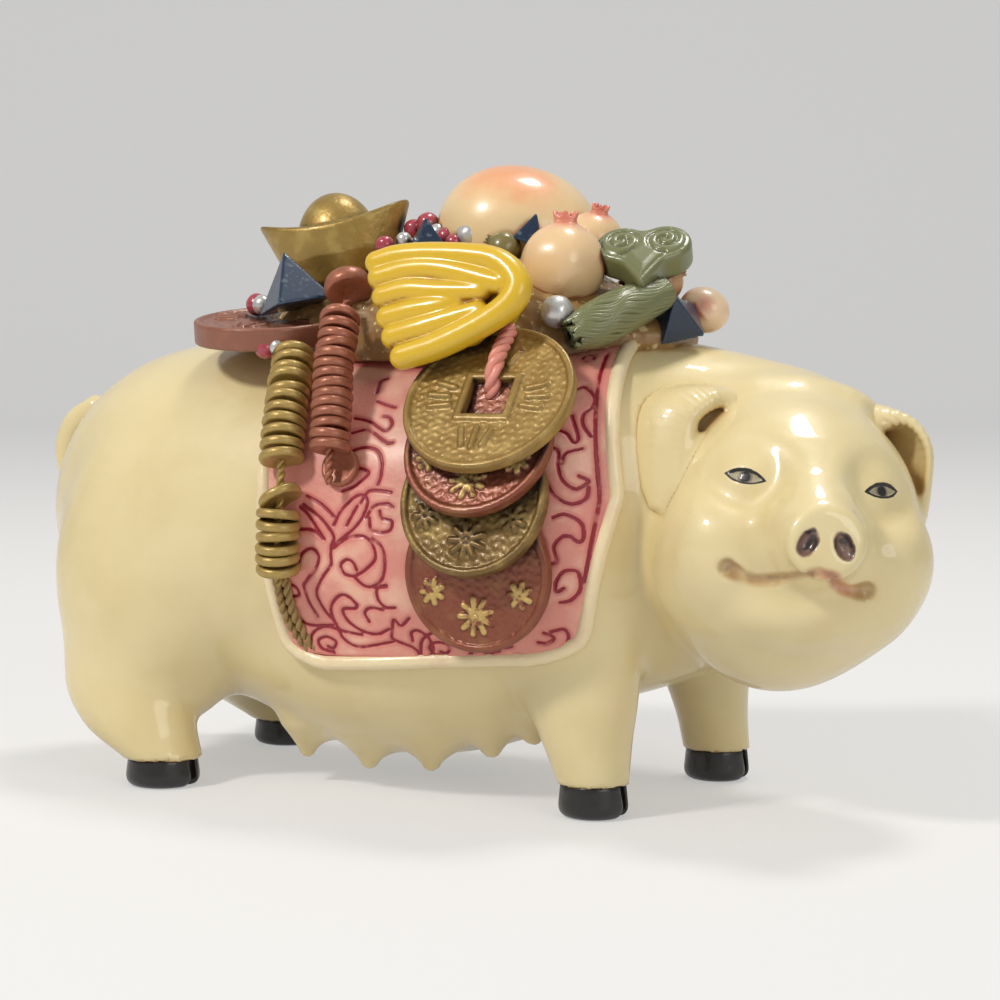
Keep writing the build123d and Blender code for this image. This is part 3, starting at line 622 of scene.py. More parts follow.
def closed_face(points):
    """The head in its own directions, before nostrils and mouth are cut."""
    field = ellipsoid(points, np.zeros(3), skull_radii)
    for side in (-1, 1):
        jowl = ellipsoid(points, np.array([2.3, side * 4.7, -5.9]), np.array([14.5, 15.5, 12.5]))
        field = join(field, jowl, 3.0)
        cheek = ellipsoid(points, np.array([9.0, side * 11.3, -3.0]), np.array([8.6, 8.0, 8.4]))
        field = join(field, cheek, 3.5)
    field = join(field, ball(points, np.array([-3.85, 0, -8.4]), 15.0), 4.0)
    chin = ellipsoid(points, np.array([13.0, 0.0, -11.4]), np.array([5.6, 8.0, 4.4]))
    field = join(field, chin, 4.0)
    field = join(field, rod(points, crown_rows, [crown_radius] * len(crown_rows)), 3.0)
    field = join(field, rod(points, bridge_rows, [8.0, 6.0, 3.9], 1.0), 5.0)
    field = join(field, rod(points, muzzle_rows, [9.2, 6.4, 4.6], 1.0), 2.6)
    field = eyes(points, field)
    disc = np.sqrt((points[:, 1] - 0.5) ** 2 + ((points[:, 2] + 1.8) / 0.86) ** 2)
    rim = np.sqrt((disc - 4.0) ** 2 + (points[:, 0] - 25.6) ** 2) - 1.0
    field = join(field, rim, 2.8)
    return keep(field, points[:, 0] - 26.7 + 0.05 * (points[:, 2] + 1.8), 1.5)


def settled(spots, field):
    """Spots moved straight ahead or back onto a field's surface."""
    spots = np.array(spots, float)
    for _ in range(14):
        value, slope = slope_of(field, spots, 0.05)
        spots[:, 0] -= value / np.maximum(slope[:, 0], 0.4)
    return spots


mouth_lines = {}
for side in (-1, 1):
    mouth_lines[side] = settled(curve_through(mouth_rows[side], 14), closed_face)


def face(points):
    """The same with its nostrils and its mouth."""
    field = closed_face(points)
    for side in (-1, 1):
        lean = points.copy()
        lean[:, 1] += side * nostril_lean * (points[:, 2] + 2.0)
        hole = ellipsoid(lean, np.array([26.7, side * nostril_spread, -2.0]), nostril_radii)
        field = carve(field, hole, 0.5)
        line = mouth_lines[side]
        field = carve(field, rod(points, line, np.linspace(0.35, 0.50, len(line))), 0.8)
        field = carve(field, rod(points, line[-3:], [0.5, 0.8, 1.1]), 1.1)
    return field


def mouth_distance(points):
    """How far points of the pig lie from the line of its mouth."""
    local = into(points, gaze)
    away = [rod(local, line, np.zeros(len(line))) for line in mouth_lines.values()]
    return np.clip(np.minimum(*away), 0, 5)


def pig(points):
    """The whole casting."""
    field = body(points)
    near = norm(points - head[0]) < 42
    if near.any():
        field[near] = join(field[near], face(into(points[near], gaze)), 3.8)
    return field


# %% [markdown]
# ## Ears, tail and hooves
#
# The ears are thin flaps that rise from the crown, fold over and hang beside the cheeks. Each grows
# out of the head with a fillet, so its form takes in a little of the head around its root.

# %% Ears
ear_rows = {
    -1: [
        (-5.0, 6.5, 18.9, 2.4),
        (-4.2, 11.5, 19.5, 4.2),
        (-2.4, 16.4, 19.5, 5.0),
        (-0.4, 20.2, 16.6, 4.9),
        (0.8, 21.3, 11.4, 4.5),
        (1.2, 21.1, 6.0, 3.8),
        (1.5, 20.5, 2.6, 2.2),
    ],
    1: [
        (-5.0, 6.5, 18.8, 2.4),
        (-4.4, 11.2, 19.2, 4.0),
        (-3.2, 15.6, 18.2, 4.6),
        (-2.0, 18.4, 14.8, 4.6),
        (-1.2, 19.2, 9.6, 4.0),
        (-0.6, 19.5, 5.0, 3.0),
        (-0.2, 19.6, 2.4, 1.6),
    ],
}
ear_angles = {-1: 42, 1: 116}
ear_thickness = 0.85
ear_bulge = 1.3


def ear_field(side):
    rows = [(x, side * y, z, width) for x, y, z, width in ear_rows[side]]
    angle = math.radians(ear_angles[side])
    across = np.array([math.sin(angle), -side * math.cos(angle), 0.0])

    def field(points):
        local = into(points, head)
        flap = leaf(local, rows, across, ear_thickness, side * ear_bulge)
        rooted = join(flap, face(into(points, gaze)) + 0.25, 3.2)
        return np.maximum(rooted, flap - 1.7)

    return field


def box_around(spots, margin):
    spots = np.asarray(spots)
    return spots.min(axis=0) - margin, spots.max(axis=0) + margin


for side, name in ((-1, "ear_right"), (1, "ear_left")):
    spots = [out_of(np.array([x, side * y, z]), head) for x, y, z, _ in ear_rows[side]]
    form(name, ear_field(side), *box_around(spots, 10.0))

# %% Tail and hooves
tail_rows = [
    (-0.480, 0.000, 0.835, 0.85),
    (-0.506, 0.000, 0.795, 1.00),
    (-0.517, -0.006, 0.735, 0.95),
    (-0.512, -0.035, 0.670, 0.50),
]
tail_radius = 2.5


def tail_field(points):
    rows = curve_through(tail_rows, 14)
    places = [on_figurine(*row[:3]) for row in rows]
    tail = rod(points, places, list(rows[:, 3] * tail_radius))
    rooted = join(tail, body(points) + 0.2, 1.2)
    return np.maximum(rooted, tail - 1.6)


form("tail", tail_field, *box_around([on_figurine(*row[:3]) for row in tail_rows], 5.0))

hoof_sizes = {"rear": (12.4, 12.0), "front": (11.0, 10.6)}
hoof_flare = 0.90
toe_notch = 1.0
toe_notch_depth = 2.2


def hoof_field(name):
    length, width = hoof_sizes[name.split("_")[0]]
    x_share, y_share, z_share = leg_rows[name][2][-1][:3]
    foot = on_figurine(x_share, y_share, 0)
    top = z_share * back_height + 0.25

    def field(points):
        local = points - foot
        flare = 1 - (1 - hoof_flare) * np.clip(local[:, 2] / top, 0, 1)
        oval = oval_distance(local[:, 0], local[:, 1], length / 2 * flare, width / 2 * flare)
        hoof = keep(oval, -local[:, 2], 2.2)
        hoof = keep(hoof, local[:, 2] - top, 0.6)
        notch = norm(local[:, :2] - np.array([length / 2 + toe_notch - toe_notch_depth, 0])) - toe_notch
        return carve(hoof, notch, 0.5)

    return field, foot - np.array([8, 8, 1]), foot + np.array([8, 8, 7])


for name in leg_rows:
    form("hoof_" + name, *hoof_field(name))

form("pig_body", pig, [-76.5, -36.0, 3.0], [78.0, 36.0, 73.0])
print("forms so far:", len(forms))

# %% [markdown]
# ## Paint
#
# Each material is a small recipe in numbers: distances in millimetres, soft noise, and the recess and
# ridge numbers of the mesh. The class below lets such numbers be added and mixed like ordinary ones.

# %% Numbers and paints


class Number:
    """A number in a material, on a node's socket, that can be used in ordinary sums."""

    def __init__(self, paint, socket):
        self.paint = paint
        self.socket = socket

    def sum(self, operation, first, second=None):
        node = self.paint.node("ShaderNodeMath", {"operation": operation}, {0: first, 1: second})
        return Number(self.paint, node.outputs[0])

    def __add__(self, other):
        return self.sum("ADD", self, other)

    def __radd__(self, other):
        return self.sum("ADD", other, self)

    def __sub__(self, other):
        return self.sum("SUBTRACT", self, other)

    def __rsub__(self, other):
        return self.sum("SUBTRACT", other, self)

    def __mul__(self, other):
        return self.sum("MULTIPLY", self, other)

    def __rmul__(self, other):
        return self.sum("MULTIPLY", other, self)

    def __truediv__(self, other):
        return self.sum("DIVIDE", self, other)

    def __pow__(self, other):
        return self.sum("POWER", self, other)

    def size(self):
        return self.sum("ABSOLUTE", self)

    def least(self, other):
        return self.sum("MINIMUM", self, other)

    def most(self, other):
        return self.sum("MAXIMUM", self, other)

    def rise(self, low, high):
        """0 below low and 1 above high, with a soft step between them. low may be above high."""
        node = self.paint.node(
            "ShaderNodeMapRange",
            {"interpolation_type": "SMOOTHSTEP"},
            {"Value": self, "From Min": low, "From Max": high, "To Min": 0.0, "To Max": 1.0},
        )
        return Number(self.paint, node.outputs[0])


class Paint:
    """A material under construction."""

    def __init__(self, name):
        self.material = bpy.data.materials.new(name)
        self.material.use_nodes = True
        self.tree = self.material.node_tree
        self.tree.nodes.clear()
        self.place = Number(self, self.node("ShaderNodeTexCoord").outputs["Object"])

    def node(self, kind, settings=None, inputs=None):
        node = self.tree.nodes.new(kind)
        for key, value in (settings or {}).items():
            setattr(node, key, value)
        for key, value in (inputs or {}).items():
            if isinstance(value, Number):
                self.tree.links.new(value.socket, node.inputs[key])
            elif value is not None:
                node.inputs[key].default_value = value
        return node

    def noise(self, size, detail=3.0, seed=0.0):
        """Soft patches of about this size in mm, from 0 to 1."""
        inputs = {"Vector": self.place, "W": seed, "Scale": 1 / (size * mm), "Detail": detail}
        node = self.node("ShaderNodeTexNoise", {"noise_dimensions": "4D"}, inputs)
        return Number(self, node.outputs[0])

    def cells(self, size):
        """The distance to the nearest of many scattered points, about this many mm apart."""
        inputs = {"Vector": self.place, "Scale": 1 / (size * mm)}
        return Number(self, self.node("ShaderNodeTexVoronoi", {}, inputs).outputs["Distance"])

    def attribute(self, name):
        return Number(self, self.node("ShaderNodeAttribute", {"attribute_name": name}).outputs["Fac"])

    def mix(self, first, second, share):
        """Two colours mixed: the second where the share is 1."""
        inputs = {0: share, 6: first, 7: second}
        node = self.node("ShaderNodeMix", {"data_type": "RGBA"}, inputs)
        return Number(self, node.outputs[2])

    def along(self, origin, direction):
        """How many mm the surface lies beyond an origin in a direction."""
        start = [float(value) * mm for value in origin]
        offset = self.node("ShaderNodeVectorMath", {"operation": "SUBTRACT"}, {0: self.place, 1: start})
        offset = Number(self, offset.outputs[0])
        way = [float(value) / mm for value in direction]
        node = self.node("ShaderNodeVectorMath", {"operation": "DOT_PRODUCT"}, {0: offset, 1: way})
        return Number(self, node.outputs["Value"])

    def local(self, spot):
        """The surface's three places in a local frame, in mm."""
        origin, axes = spot
        return [self.along(origin, axes[:, index]) for index in range(3)]

    def finish(self, colour, roughness, height=None, depth=0.1, metallic=0.0, coat=0.0, coat_roughness=0.1):
        """Ends the material. The height, in mm times depth, makes the fine relief."""
        inputs = {
            "Base Color": colour,
            "Roughness": roughness,
            "Metallic": metallic,
            "Coat Weight": coat,
            "Coat Roughness": coat_roughness,
        }
        if height is not None:
            bump = {"Height": height, "Distance": depth * mm, "Strength": 1.0}
            inputs["Normal"] = Number(self, self.node("ShaderNodeBump", {}, bump).outputs[0])
        shader = self.node("ShaderNodeBsdfPrincipled", {}, inputs)
        output = self.node("ShaderNodeOutputMaterial")
        self.tree.links.new(shader.outputs[0], output.inputs["Surface"])
        return self.material


def sight(red, green, blue):
    """A colour as the eye reads it, 0 to 255, for a shader."""
    linear = []
    for value in (red, green, blue):
        share = value / 255
        linear.append(share / 12.92 if share < 0.04045 else ((share + 0.055) / 1.055) ** 2.4)
    return (*linear, 1.0)


# %% [markdown]
# ## The pig's glaze and its painted face
#
# The casting is glazed ivory. The glaze pools amber in every hollow, and painted shade darkens the
# hollows too. Eyes, nostrils and mouth are painted by hand on top: black lines along the lids, grey
# eyeballs with a small black pupil, mauve nostrils with dark blots, and a pink mouth with brown
# painted shade in its corner dimples.

# %% Ivory paints
amber = sight(160, 108, 40)
ivory_light = sight(226, 209, 160)
ivory_deep = sight(208, 184, 126)


def ivory(paint):
    """The glaze's colour, with painted shade in its recesses, and its roughness."""
    recess = paint.attribute("recess")
    patches = paint.noise(14.0, 4.0)
    fine = paint.noise(1.6, 4.0, 3.0)
    body_colour = paint.mix(ivory_light, ivory_deep, patches.rise(0.40, 0.68) * 0.35)
    # Amber: glaze gathered in the deep recesses, which also paints their shade.
    amber_wash_and_shade = (recess + (fine - 0.5) * 0.14).rise(0.36, 0.95)
    # Painted shade: darker ivory in shallower recesses and where other pieces press close.
    colour = paint.mix(body_colour, ivory_deep, recess.rise(0.12, 0.50) * 0.6)
    colour = paint.mix(colour, amber, amber_wash_and_shade * 0.7)
    specks = paint.cells(5.5).rise(0.08, 0.045) * paint.noise(9.0, 2.0, 5.0).rise(0.60, 0.68)
    colour = paint.mix(colour, sight(120, 84, 44), specks * 0.45)
    return colour, 0.36 + patches * 0.10 + amber_wash_and_shade * 0.10


def painted_eyes(paint, colour):
    """Adds outlines, eyeballs and pupils to a colour."""
    black = sight(26, 21, 18)
    for side in (-1, 1):
        place, axes = eye_frame(side)
        outward, across, up = paint.local((out_of(place, gaze), gaze[1] @ axes))
        front = outward.rise(-2.6, -2.2)
        share = (across.size() / eye_width).least(1.3)
        lid = up.size() - eye_height * (1 - share ** 2.2)
        upper = up.rise(-0.2, 0.3)
        brush = (paint.noise(1.3, 2.0, 6.0) - 0.5) * 0.34
        line = (lid.size() - upper * 0.08 + brush).rise(0.27, 0.10) * front
        white = lid.rise(-0.02, -0.16) * front
        colour = paint.mix(colour, sight(176, 165, 138), white)
        away = (across ** 2.0 + up ** 2.0) ** 0.5
        colour = paint.mix(colour, sight(128, 120, 100), away.rise(1.20, 1.00) * white)
        colour = paint.mix(colour, sight(30, 26, 24), away.rise(0.88, 0.70) * white)
        colour = paint.mix(colour, black, line)
    return colour


def painted_snout(paint, colour):
    """Adds the nostrils' and the mouth's paint to a colour, with brown painted shade in the mouth's corner
    dimples.
    """
    ahead, left, up = paint.local(gaze)
    front = ahead.rise(23.0, 23.6)
    blots = paint.noise(1.7, 3.0, 8.0)
    for side in (-1, 1):
        aside = (left - side * (nostril_spread - nostril_lean * (up + 2.0))) / 1.50
        level = (up + 2.0) / 2.05
        hole = (aside ** 2.0 + level ** 2.0 + paint.noise(1.1, 2.0, 7.0) * 0.5) ** 0.5
        inside = hole.rise(1.20, 0.98) * front
        dark = (blots + aside * 0.16 + level * 0.14).rise(0.46, 0.62)
        colour = paint.mix(colour, sight(128, 98, 86), inside)
        colour = paint.mix(colour, sight(42, 28, 26), inside * dark * 0.9)
    away = paint.attribute("mouth") + (paint.noise(2.0, 2.0, 9.0) - 0.5) * 0.5
    corner = left.rise(5.8, 8.0) + left.rise(-8.8, -11.0)
    pink = left.rise(-2.5, 0.5) * left.rise(9.5, 6.5)
    colour = paint.mix(colour, sight(188, 146, 92), away.rise(1.4, 0.4) * 0.55)
    colour = paint.mix(colour, sight(206, 134, 108), away.rise(1.2, 0.3) * pink * 0.70)
    # Painted shade: brown in the mouth's corner dimples, where the amber glaze also gathers.
    colour = paint.mix(colour, sight(134, 76, 18), away.rise(1.8, 0.6) * corner * 0.8)
    return paint.mix(colour, sight(126, 74, 44), away.rise(0.70, 0.35) * 0.5)


def ivory_material(name, with_face):
    paint = Paint(name)
    colour, roughness = ivory(paint)
    gloss = 0.6
    if with_face:
        colour = painted_snout(paint, painted_eyes(paint, colour))
        for side in (-1, 1):
            ahead, left, up = paint.local((out_of(eye_places[side], gaze), gaze[1]))
            away = (left ** 2.0 + up ** 2.0 + ahead ** 2.0) ** 0.5
            gloss = gloss - away.rise(6.4, 4.0) * 0.45
    relief = paint.noise(5.0, 2.0, 1.0) * 0.7 + paint.noise(0.9, 2.0, 2.0) * 0.12
    return paint.finish(colour, roughness, relief, 0.22, coat=gloss, coat_roughness=0.06)


ivory_glaze = ivory_material("ivory_glaze", False)
ivory_face_glaze = ivory_material("ivory_face_glaze", True)

# %% [markdown]
# The hooves are lacquered satin black over the same casting, worn a little brown on their edges.

# %% Hoof paint
paint = Paint("black_hoof")
wear = (paint.attribute("ridge") + paint.noise(1.5, 3.0) * 0.6).rise(1.12, 1.42)
black_colour = paint.mix(sight(24, 22, 22), sight(70, 52, 38), wear * 0.7)
black_hoof = paint.finish(black_colour, 0.30 + paint.noise(3.0) * 0.2, paint.noise(1.2), 0.12, coat=0.3)

# %% [markdown]
# ## The saddle cloth
#
# On the real figurine it is a thin raised layer of the casting with scrolls cut into it by hand, and a
# rounded hem. Here it is a net of places laid on the pig's own surface, from the lower edge on one side
# over the back to the other, with smaller meshes on the flanks. The scrolls are drawn lines, given
# in hundredths of the cloth's length and thousandths of its height, each on a row of its own. Each
# place of the net sinks where a line is near.

# %% Draping
cloth_thickness = 1.2
hem_width = 1.9
cloth_inset = hem_width / 2
cloth_rear_shares = (-0.134, -0.150, -0.200)
cloth_front_shares = (0.192, 0.228, 0.178)
cloth_waist_share = 0.68
cloth_hang_shares = (0.295, 0.330)
cloth_corner = 5.5
trunk_axis_height = 41.6
inner_corner = cloth_corner - cloth_inset


def cloth_edge(heights, shares, hang_share, inward):
    """Where the cloth's rear or front edge lies at heights, with its rounded lower corner."""
    bottom = hang_share * back_height + cloth_inset
    levels = [bottom, cloth_waist_share * back_height, back_height + heap_height]
    line = np.interp(heights, levels, [middle_x + share * figurine_length for share in shares])
    drop = np.clip(bottom + inner_corner - heights, 0, inner_corner)
    return line + inward * (cloth_inset + inner_corner - np.sqrt(inner_corner ** 2 - drop ** 2))


def cloth_bottom(x):
    """The height of the cloth's lower edge, which rises at its two rounded corners."""
    rear = middle_x + cloth_rear_shares[0] * figurine_length + cloth_corner
    front = middle_x + cloth_front_shares[0] * figurine_length - cloth_corner
    flat = np.interp(x, [rear, front], [share * back_height + cloth_inset for share in cloth_hang_shares])
    beyond = np.clip(np.maximum(rear - x, x - front), 0, inner_corner * 0.72)
    return flat + inner_corner - np.sqrt(inner_corner ** 2 - beyond ** 2)


def draped(across, around, lift):
    """Places over the casting. across goes from the rear edge, 0, to the front edge, 1, and around
    from the lower edge on the right side, 1, over the back to the lower edge on the left, -1."""
    across, around = np.meshgrid(across, around)
    reach = np.full(across.shape, 36.0)
    turn = around * 2.25
    for _ in range(6):
        heights = trunk_axis_height + reach * np.cos(turn)
        rear = cloth_edge(heights, cloth_rear_shares, cloth_hang_shares[0], 1)
        front = cloth_edge(heights, cloth_front_shares, cloth_hang_shares[1], -1)
        x = rear + across * (front - rear)
        lows = []
        for row in (0, -1):
            low = (cloth_bottom(x[row]) - trunk_axis_height) / reach[row]
            lows.append(np.arccos(np.clip(low, -1, 1)))
        turn = np.where(around > 0, around * lows[0], around * lows[1])
        way = np.stack([0 * turn, -np.sin(turn), np.cos(turn)], -1)
        axis = np.stack([x, np.full_like(x, spine_y), np.full_like(x, trunk_axis_height)], -1)
        for _ in range(8):
            spots = (axis + way * reach[..., None]).reshape(-1, 3)
            reach = reach - 0.8 * (pig(spots).reshape(reach.shape) - lift)
    return axis + way * reach[..., None]


coarse_across = np.linspace(0, 1, 31)
coarse_around = np.linspace(1, -1, 81)
cloth_net = draped(coarse_across, coarse_around, cloth_thickness)
low, high = box_around(cloth_net.reshape(-1, 3), 0)
print("cloth from", low.round(1), "to", high.round(1))

# %% Scrolls
scroll_rows = [
    [(90, 830), (93, 843), (96, 817), (96, 787), (94, 766), (94, 736), (96, 702)],
    [(87, 723), (90, 711), (92, 685), (93, 702), (91, 762)],
    [(85, 677), (88, 660), (88, 617), (89, 579), (92, 553), (95, 574), (93, 591)],
    [(94, 668), (90, 655), (89, 626)],
    [(85, 566), (87, 532), (91, 511), (94, 523), (95, 557)],
    [(87, 472), (90, 481), (94, 455), (95, 413), (94, 400), (92, 417)],
    [(92, 417), (90, 417), (88, 387), (89, 345), (87, 336)],
    [(95, 294), (94, 315), (91, 315), (89, 285), (89, 255), (91, 264)],
    [(95, 294), (95, 260), (93, 230), (90, 221)],
    [(96, 940), (97, 702), (97, 447), (96, 285)],
    [(97, 179), (98, 89), (95, 51)],
    [(11, 26), (26, 17), (50, 21), (75, 26), (90, 34)],
    [(19, 38), (15, 47), (14, 72), (17, 85), (20, 72), (19, 51), (17, 55)],
    [(11, 47), (12, 89), (16, 115), (21, 111), (23, 81), (28, 60), (39, 81)],
    [(8, 136), (12, 119), (20, 123)],
    [(38, 119), (34, 102), (29, 111), (25, 140), (24, 174), (28, 179), (29, 191)],
    [(29, 191), (26, 217), (23, 213), (20, 174), (21, 123), (23, 106), (29, 98)],
    [(4, 226), (6, 243), (9, 238), (10, 213), (7, 204)],
    [(4, 204), (5, 170), (8, 140)],
    [(11, 311), (13, 345), (16, 357), (18, 336), (17, 302), (14, 268), (12, 243)],
    [(12, 243), (13, 191), (15, 149)],
    [(22, 311), (18, 260), (16, 217), (18, 166), (21, 128)],
    [(22, 311), (22, 362), (23, 396), (19, 447), (13, 489)],
    [(23, 430), (25, 472), (29, 515), (32, 519), (33, 489), (30, 430), (22, 362)],
    [(30, 489), (27, 430)],
    [(12, 481), (15, 455), (20, 387)],
    [(11, 413), (16, 413), (20, 387)],
    [(14, 515), (19, 489), (23, 455)],
    [(23, 362), (27, 391), (32, 400), (35, 379), (36, 336), (33, 302), (29, 277)],
    [(29, 277), (26, 285), (25, 311), (27, 328), (29, 319), (30, 298)],
    [(29, 277), (32, 251), (35, 251), (38, 277), (39, 328), (38, 370), (35, 396)],
    [(33, 455), (35, 489), (39, 498), (41, 489)],
    [(34, 455), (35, 417), (40, 417), (41, 447), (38, 455), (37, 477)],
    [(31, 498), (33, 532), (37, 536), (40, 532)],
    [(26, 609), (27, 643), (31, 660), (35, 655), (37, 626), (37, 583), (36, 553)],
    [(25, 532), (29, 549), (33, 583), (32, 596), (30, 600)],
    [(27, 702), (32, 711), (38, 677), (40, 677)],
    [(27, 745), (32, 736), (37, 711), (39, 728), (38, 749), (36, 753)],
    [(32, 821), (32, 855), (34, 864)],
    [(33, 796), (36, 787), (39, 779)],
    [(35, 247), (39, 255)],
    [(39, 251), (36, 243), (36, 209), (38, 187), (41, 187)],
    [(32, 140), (31, 166), (33, 183), (37, 179)],
    [(39, 115), (40, 149), (42, 132), (45, 157)],
    [(39, 115), (39, 89), (45, 64), (47, 38), (49, 30), (51, 64), (50, 102)],
    [(50, 102), (47, 119), (45, 111), (45, 85)],
    [(62, 26), (62, 51), (64, 64), (67, 55)],
    [(64, 26), (68, 55), (71, 64)],
    [(76, 55), (82, 47), (89, 64), (92, 106), (91, 140), (87, 132)],
    [(83, 98), (86, 98), (88, 115), (85, 128)],
]
scroll_ring = (0.915, 0.928, 0.85)
middle_shift = 36
scroll_width = 0.50
scroll_depth = 0.32
cloth_low = 22.0
cloth_rise = 50.4

middle_line = cloth_net[:, cloth_net.shape[1] // 2]
steps = norm(np.diff(middle_line, axis=0))
girth = np.concatenate([[0], np.cumsum(steps)])
half = len(girth) // 2 + 1
girth_heights, girth_lengths = middle_line[:half, 2], girth[:half]


def unrolled(x, heights):
    """Places on the flank laid flat: along the cloth and up its own surface, in mm."""
    return np.stack([x, np.interp(heights, girth_heights, girth_lengths)], -1)


def on_cloth(across, up):
    """Places on the unrolled flank from shares of the cloth's length and height."""
    heights = cloth_low + up * cloth_rise
    rear = cloth_edge(heights, cloth_rear_shares, 0, 1)
    front = cloth_edge(heights, cloth_front_shares, 0, -1)
    return unrolled(rear + across * (front - rear), heights)


def scroll_lines():
    """The drawn lines in mm on the unrolled flank, with a copy of some in the cloth's middle."""
    middle_rows = [
        [(x + middle_shift, z) for x, z in row]
        for row in scroll_rows
        if all(8 < x < 42 and z < 800 for x, z in row)
    ]
    lines = []
    for row in scroll_rows + middle_rows:
        shares = curve_through(np.array(row) / [100, 1000], 6 * len(row))
        lines.append(on_cloth(shares[:, 0], shares[:, 1]))
    across, up, radius = scroll_ring
    angles = np.linspace(0, 2 * math.pi, 20)
    ring = np.stack([np.cos(angles), np.sin(angles)], -1)
    lines.append(on_cloth(across, np.full(20, up)) + radius * ring)
    return lines


def line_distance(flat, lines, limit):
    """The distance from flat places to the nearest line, up to a limit."""
    nearest = np.full(len(flat), limit)
    for line in lines:
        low, high = line.min(axis=0) - limit, line.max(axis=0) + limit
        near = np.flatnonzero(((flat > low) & (flat < high)).all(axis=1))
        if len(near):
            away = rod(flat[near], line, np.zeros(len(line)))
            nearest[near] = np.minimum(nearest[near], away)
    return nearest


# %% The panel's net
def finer(net, rows, columns):
    """A net read more finely between its places."""
    tall = curve_at(net.reshape(len(net), -1), rows).reshape(len(rows), net.shape[1], 3)
    wide = tall.transpose(1, 0, 2).reshape(net.shape[1], -1)
    return curve_at(wide, columns).reshape(len(columns), len(rows), 3).transpose(1, 0, 2)


def net_normals(net):
    normals = np.cross(np.gradient(net, axis=1), np.gradient(net, axis=0))
    return normals / norm(normals)[..., None]


last_row, last_column = len(coarse_around) - 1, len(coarse_across) - 1
near_rows = np.linspace(0, last_row * 0.34, int(190 / coarse))
top_rows = np.linspace(last_row * 0.34, last_row * 0.66, 44)
far_rows = np.linspace(last_row * 0.66, last_row, int(150 / coarse))
net = finer(
    cloth_net,
    np.concatenate([near_rows, top_rows[1:-1], far_rows]),
    np.linspace(0, last_column, int(220 / coarse)),
)
normals = net_normals(net)
outward = (normals[..., 1] * (net[..., 1] - spine_y) + normals[..., 2] * (net[..., 2] - 30)).mean()
normals = normals * np.sign(outward)
flat_net = unrolled(net[..., 0].ravel(), net[..., 2].ravel())
line_gap = line_distance(flat_net, scroll_lines(), 2.4).reshape(net.shape[:2])
on_top = np.clip((np.abs(net[..., 1] - spine_y) - 9.0) / 3.0, 0, 1)
line_gap = 2.4 - (2.4 - line_gap) * on_top
groove = np.clip(1 - line_gap / scroll_width, 0, 1)
net = net - normals * (scroll_depth * groove * groove * (3 - 2 * groove))[..., None]
rows, columns = net.shape[:2]
index = np.arange(rows * columns).reshape(rows, columns)
quads = np.stack([index[:-1, :-1], index[:-1, 1:], index[1:, 1:], index[1:, :-1]], -1).reshape(-1, 4)
centre = np.array([0, spine_y, trunk_axis_height])
first = net.reshape(-1, 3)[quads[len(quads) // 3]]
facing = np.cross(first[1] - first[0], first[2] - first[1]) @ (first[0] - centre)
if facing < 0:
    quads = quads[:, ::-1]
panel_places = net.reshape(-1, 3)
panel_normals = normals.reshape(-1, 3)

# The net is closed by a hidden layer inside the casting: its edge turns inward and one strip joins both
# sides of each row.
sunk = net - normals * (cloth_thickness + 0.6)
edge = np.concatenate([index[:, 0], index[-1, 1:], index[-2::-1, -1], index[0, -2:0:-1]])
low_points = sunk.reshape(-1, 3)[edge]
low_index = len(panel_places) + np.arange(len(edge))
around_edge = np.roll(np.arange(len(edge)), -1)
walls = np.stack([edge, edge[around_edge], low_index[around_edge], low_index], -1)
low_rear = low_index[:rows]
low_front = low_index[rows + columns - 2:rows + columns - 2 + rows][::-1]
floor = np.stack([low_rear[:-1], low_rear[1:], low_front[1:], low_front[:-1]], -1)
hidden = np.concatenate([walls, floor])
if facing >= 0:
    hidden = hidden[:, ::-1]
panel_faces = np.concatenate([quads, hidden])
panel_gap = np.concatenate([line_gap.ravel(), np.full(len(edge), 2.4)])
print("cloth_panel quads", len(panel_faces))

# %% [markdown]
# The panel is painted rose pink, rubbed lighter on its raised parts, and dark red paint was wiped into
# the cuts. Painted shade makes it darker red where coins, the heap and other pieces lie close. The hem
# is cream, darker where it meets the casting: soiling and painted shade.

# %% Cloth paints and pieces
paint = Paint("rose_cloth")
gap = paint.attribute("line_gap") + (paint.noise(0.8, 2.0) - 0.5) * 0.22
rubbed = paint.noise(7.0, 4.0, 1.0).rise(0.42, 0.66)
rose = paint.mix(sight(218, 142, 128), sight(232, 178, 156), rubbed)
# Painted shade: darker red where coins, the heap and other pieces lie close to the panel.
rose = paint.mix(rose, sight(172, 74, 72), paint.attribute("recess").rise(0.25, 0.90) * 0.8)
rose = paint.mix(rose, sight(204, 104, 100), gap.rise(0.95, 0.40) * 0.5)
broken = paint.noise(2.6, 2.0, 4.0).rise(0.30, 0.42)
rose = paint.mix(rose, sight(142, 14, 38), gap.rise(0.36, 0.18) * (0.35 + broken * 0.65))
grain = paint.noise(0.7, 3.0, 2.0)
rose_cloth = paint.finish(rose, 0.42 + grain * 0.15, grain, 0.10, coat=0.2, coat_roughness=0.2)

paint = Paint("cream_hem")
# Soiling and painted shade: the cream darkens where the hem meets the casting and other pieces.
soiling_and_shade = (paint.attribute("recess") + (paint.noise(1.4, 3.0) - 0.5) * 0.3).rise(0.30, 0.95)
cream = paint.mix(sight(236, 218, 178), sight(200, 160, 106), soiling_and_shade)
cream = paint.mix(cream, sight(224, 178, 152), paint.noise(6.0, 2.0, 2.0).rise(0.50, 0.70) * 0.35)
cream_hem = paint.finish(cream, 0.34, paint.noise(1.0, 2.0), 0.14, coat=0.3, coat_roughness=0.15)

# %% [markdown]
# ## Sweeping a line
#
# Hem, cords and tassel threads are all one round section carried along a line. A Geometry Nodes tree
# does that: it takes lines, a radius, the number of sides and a material.

# %% The sweeping tree


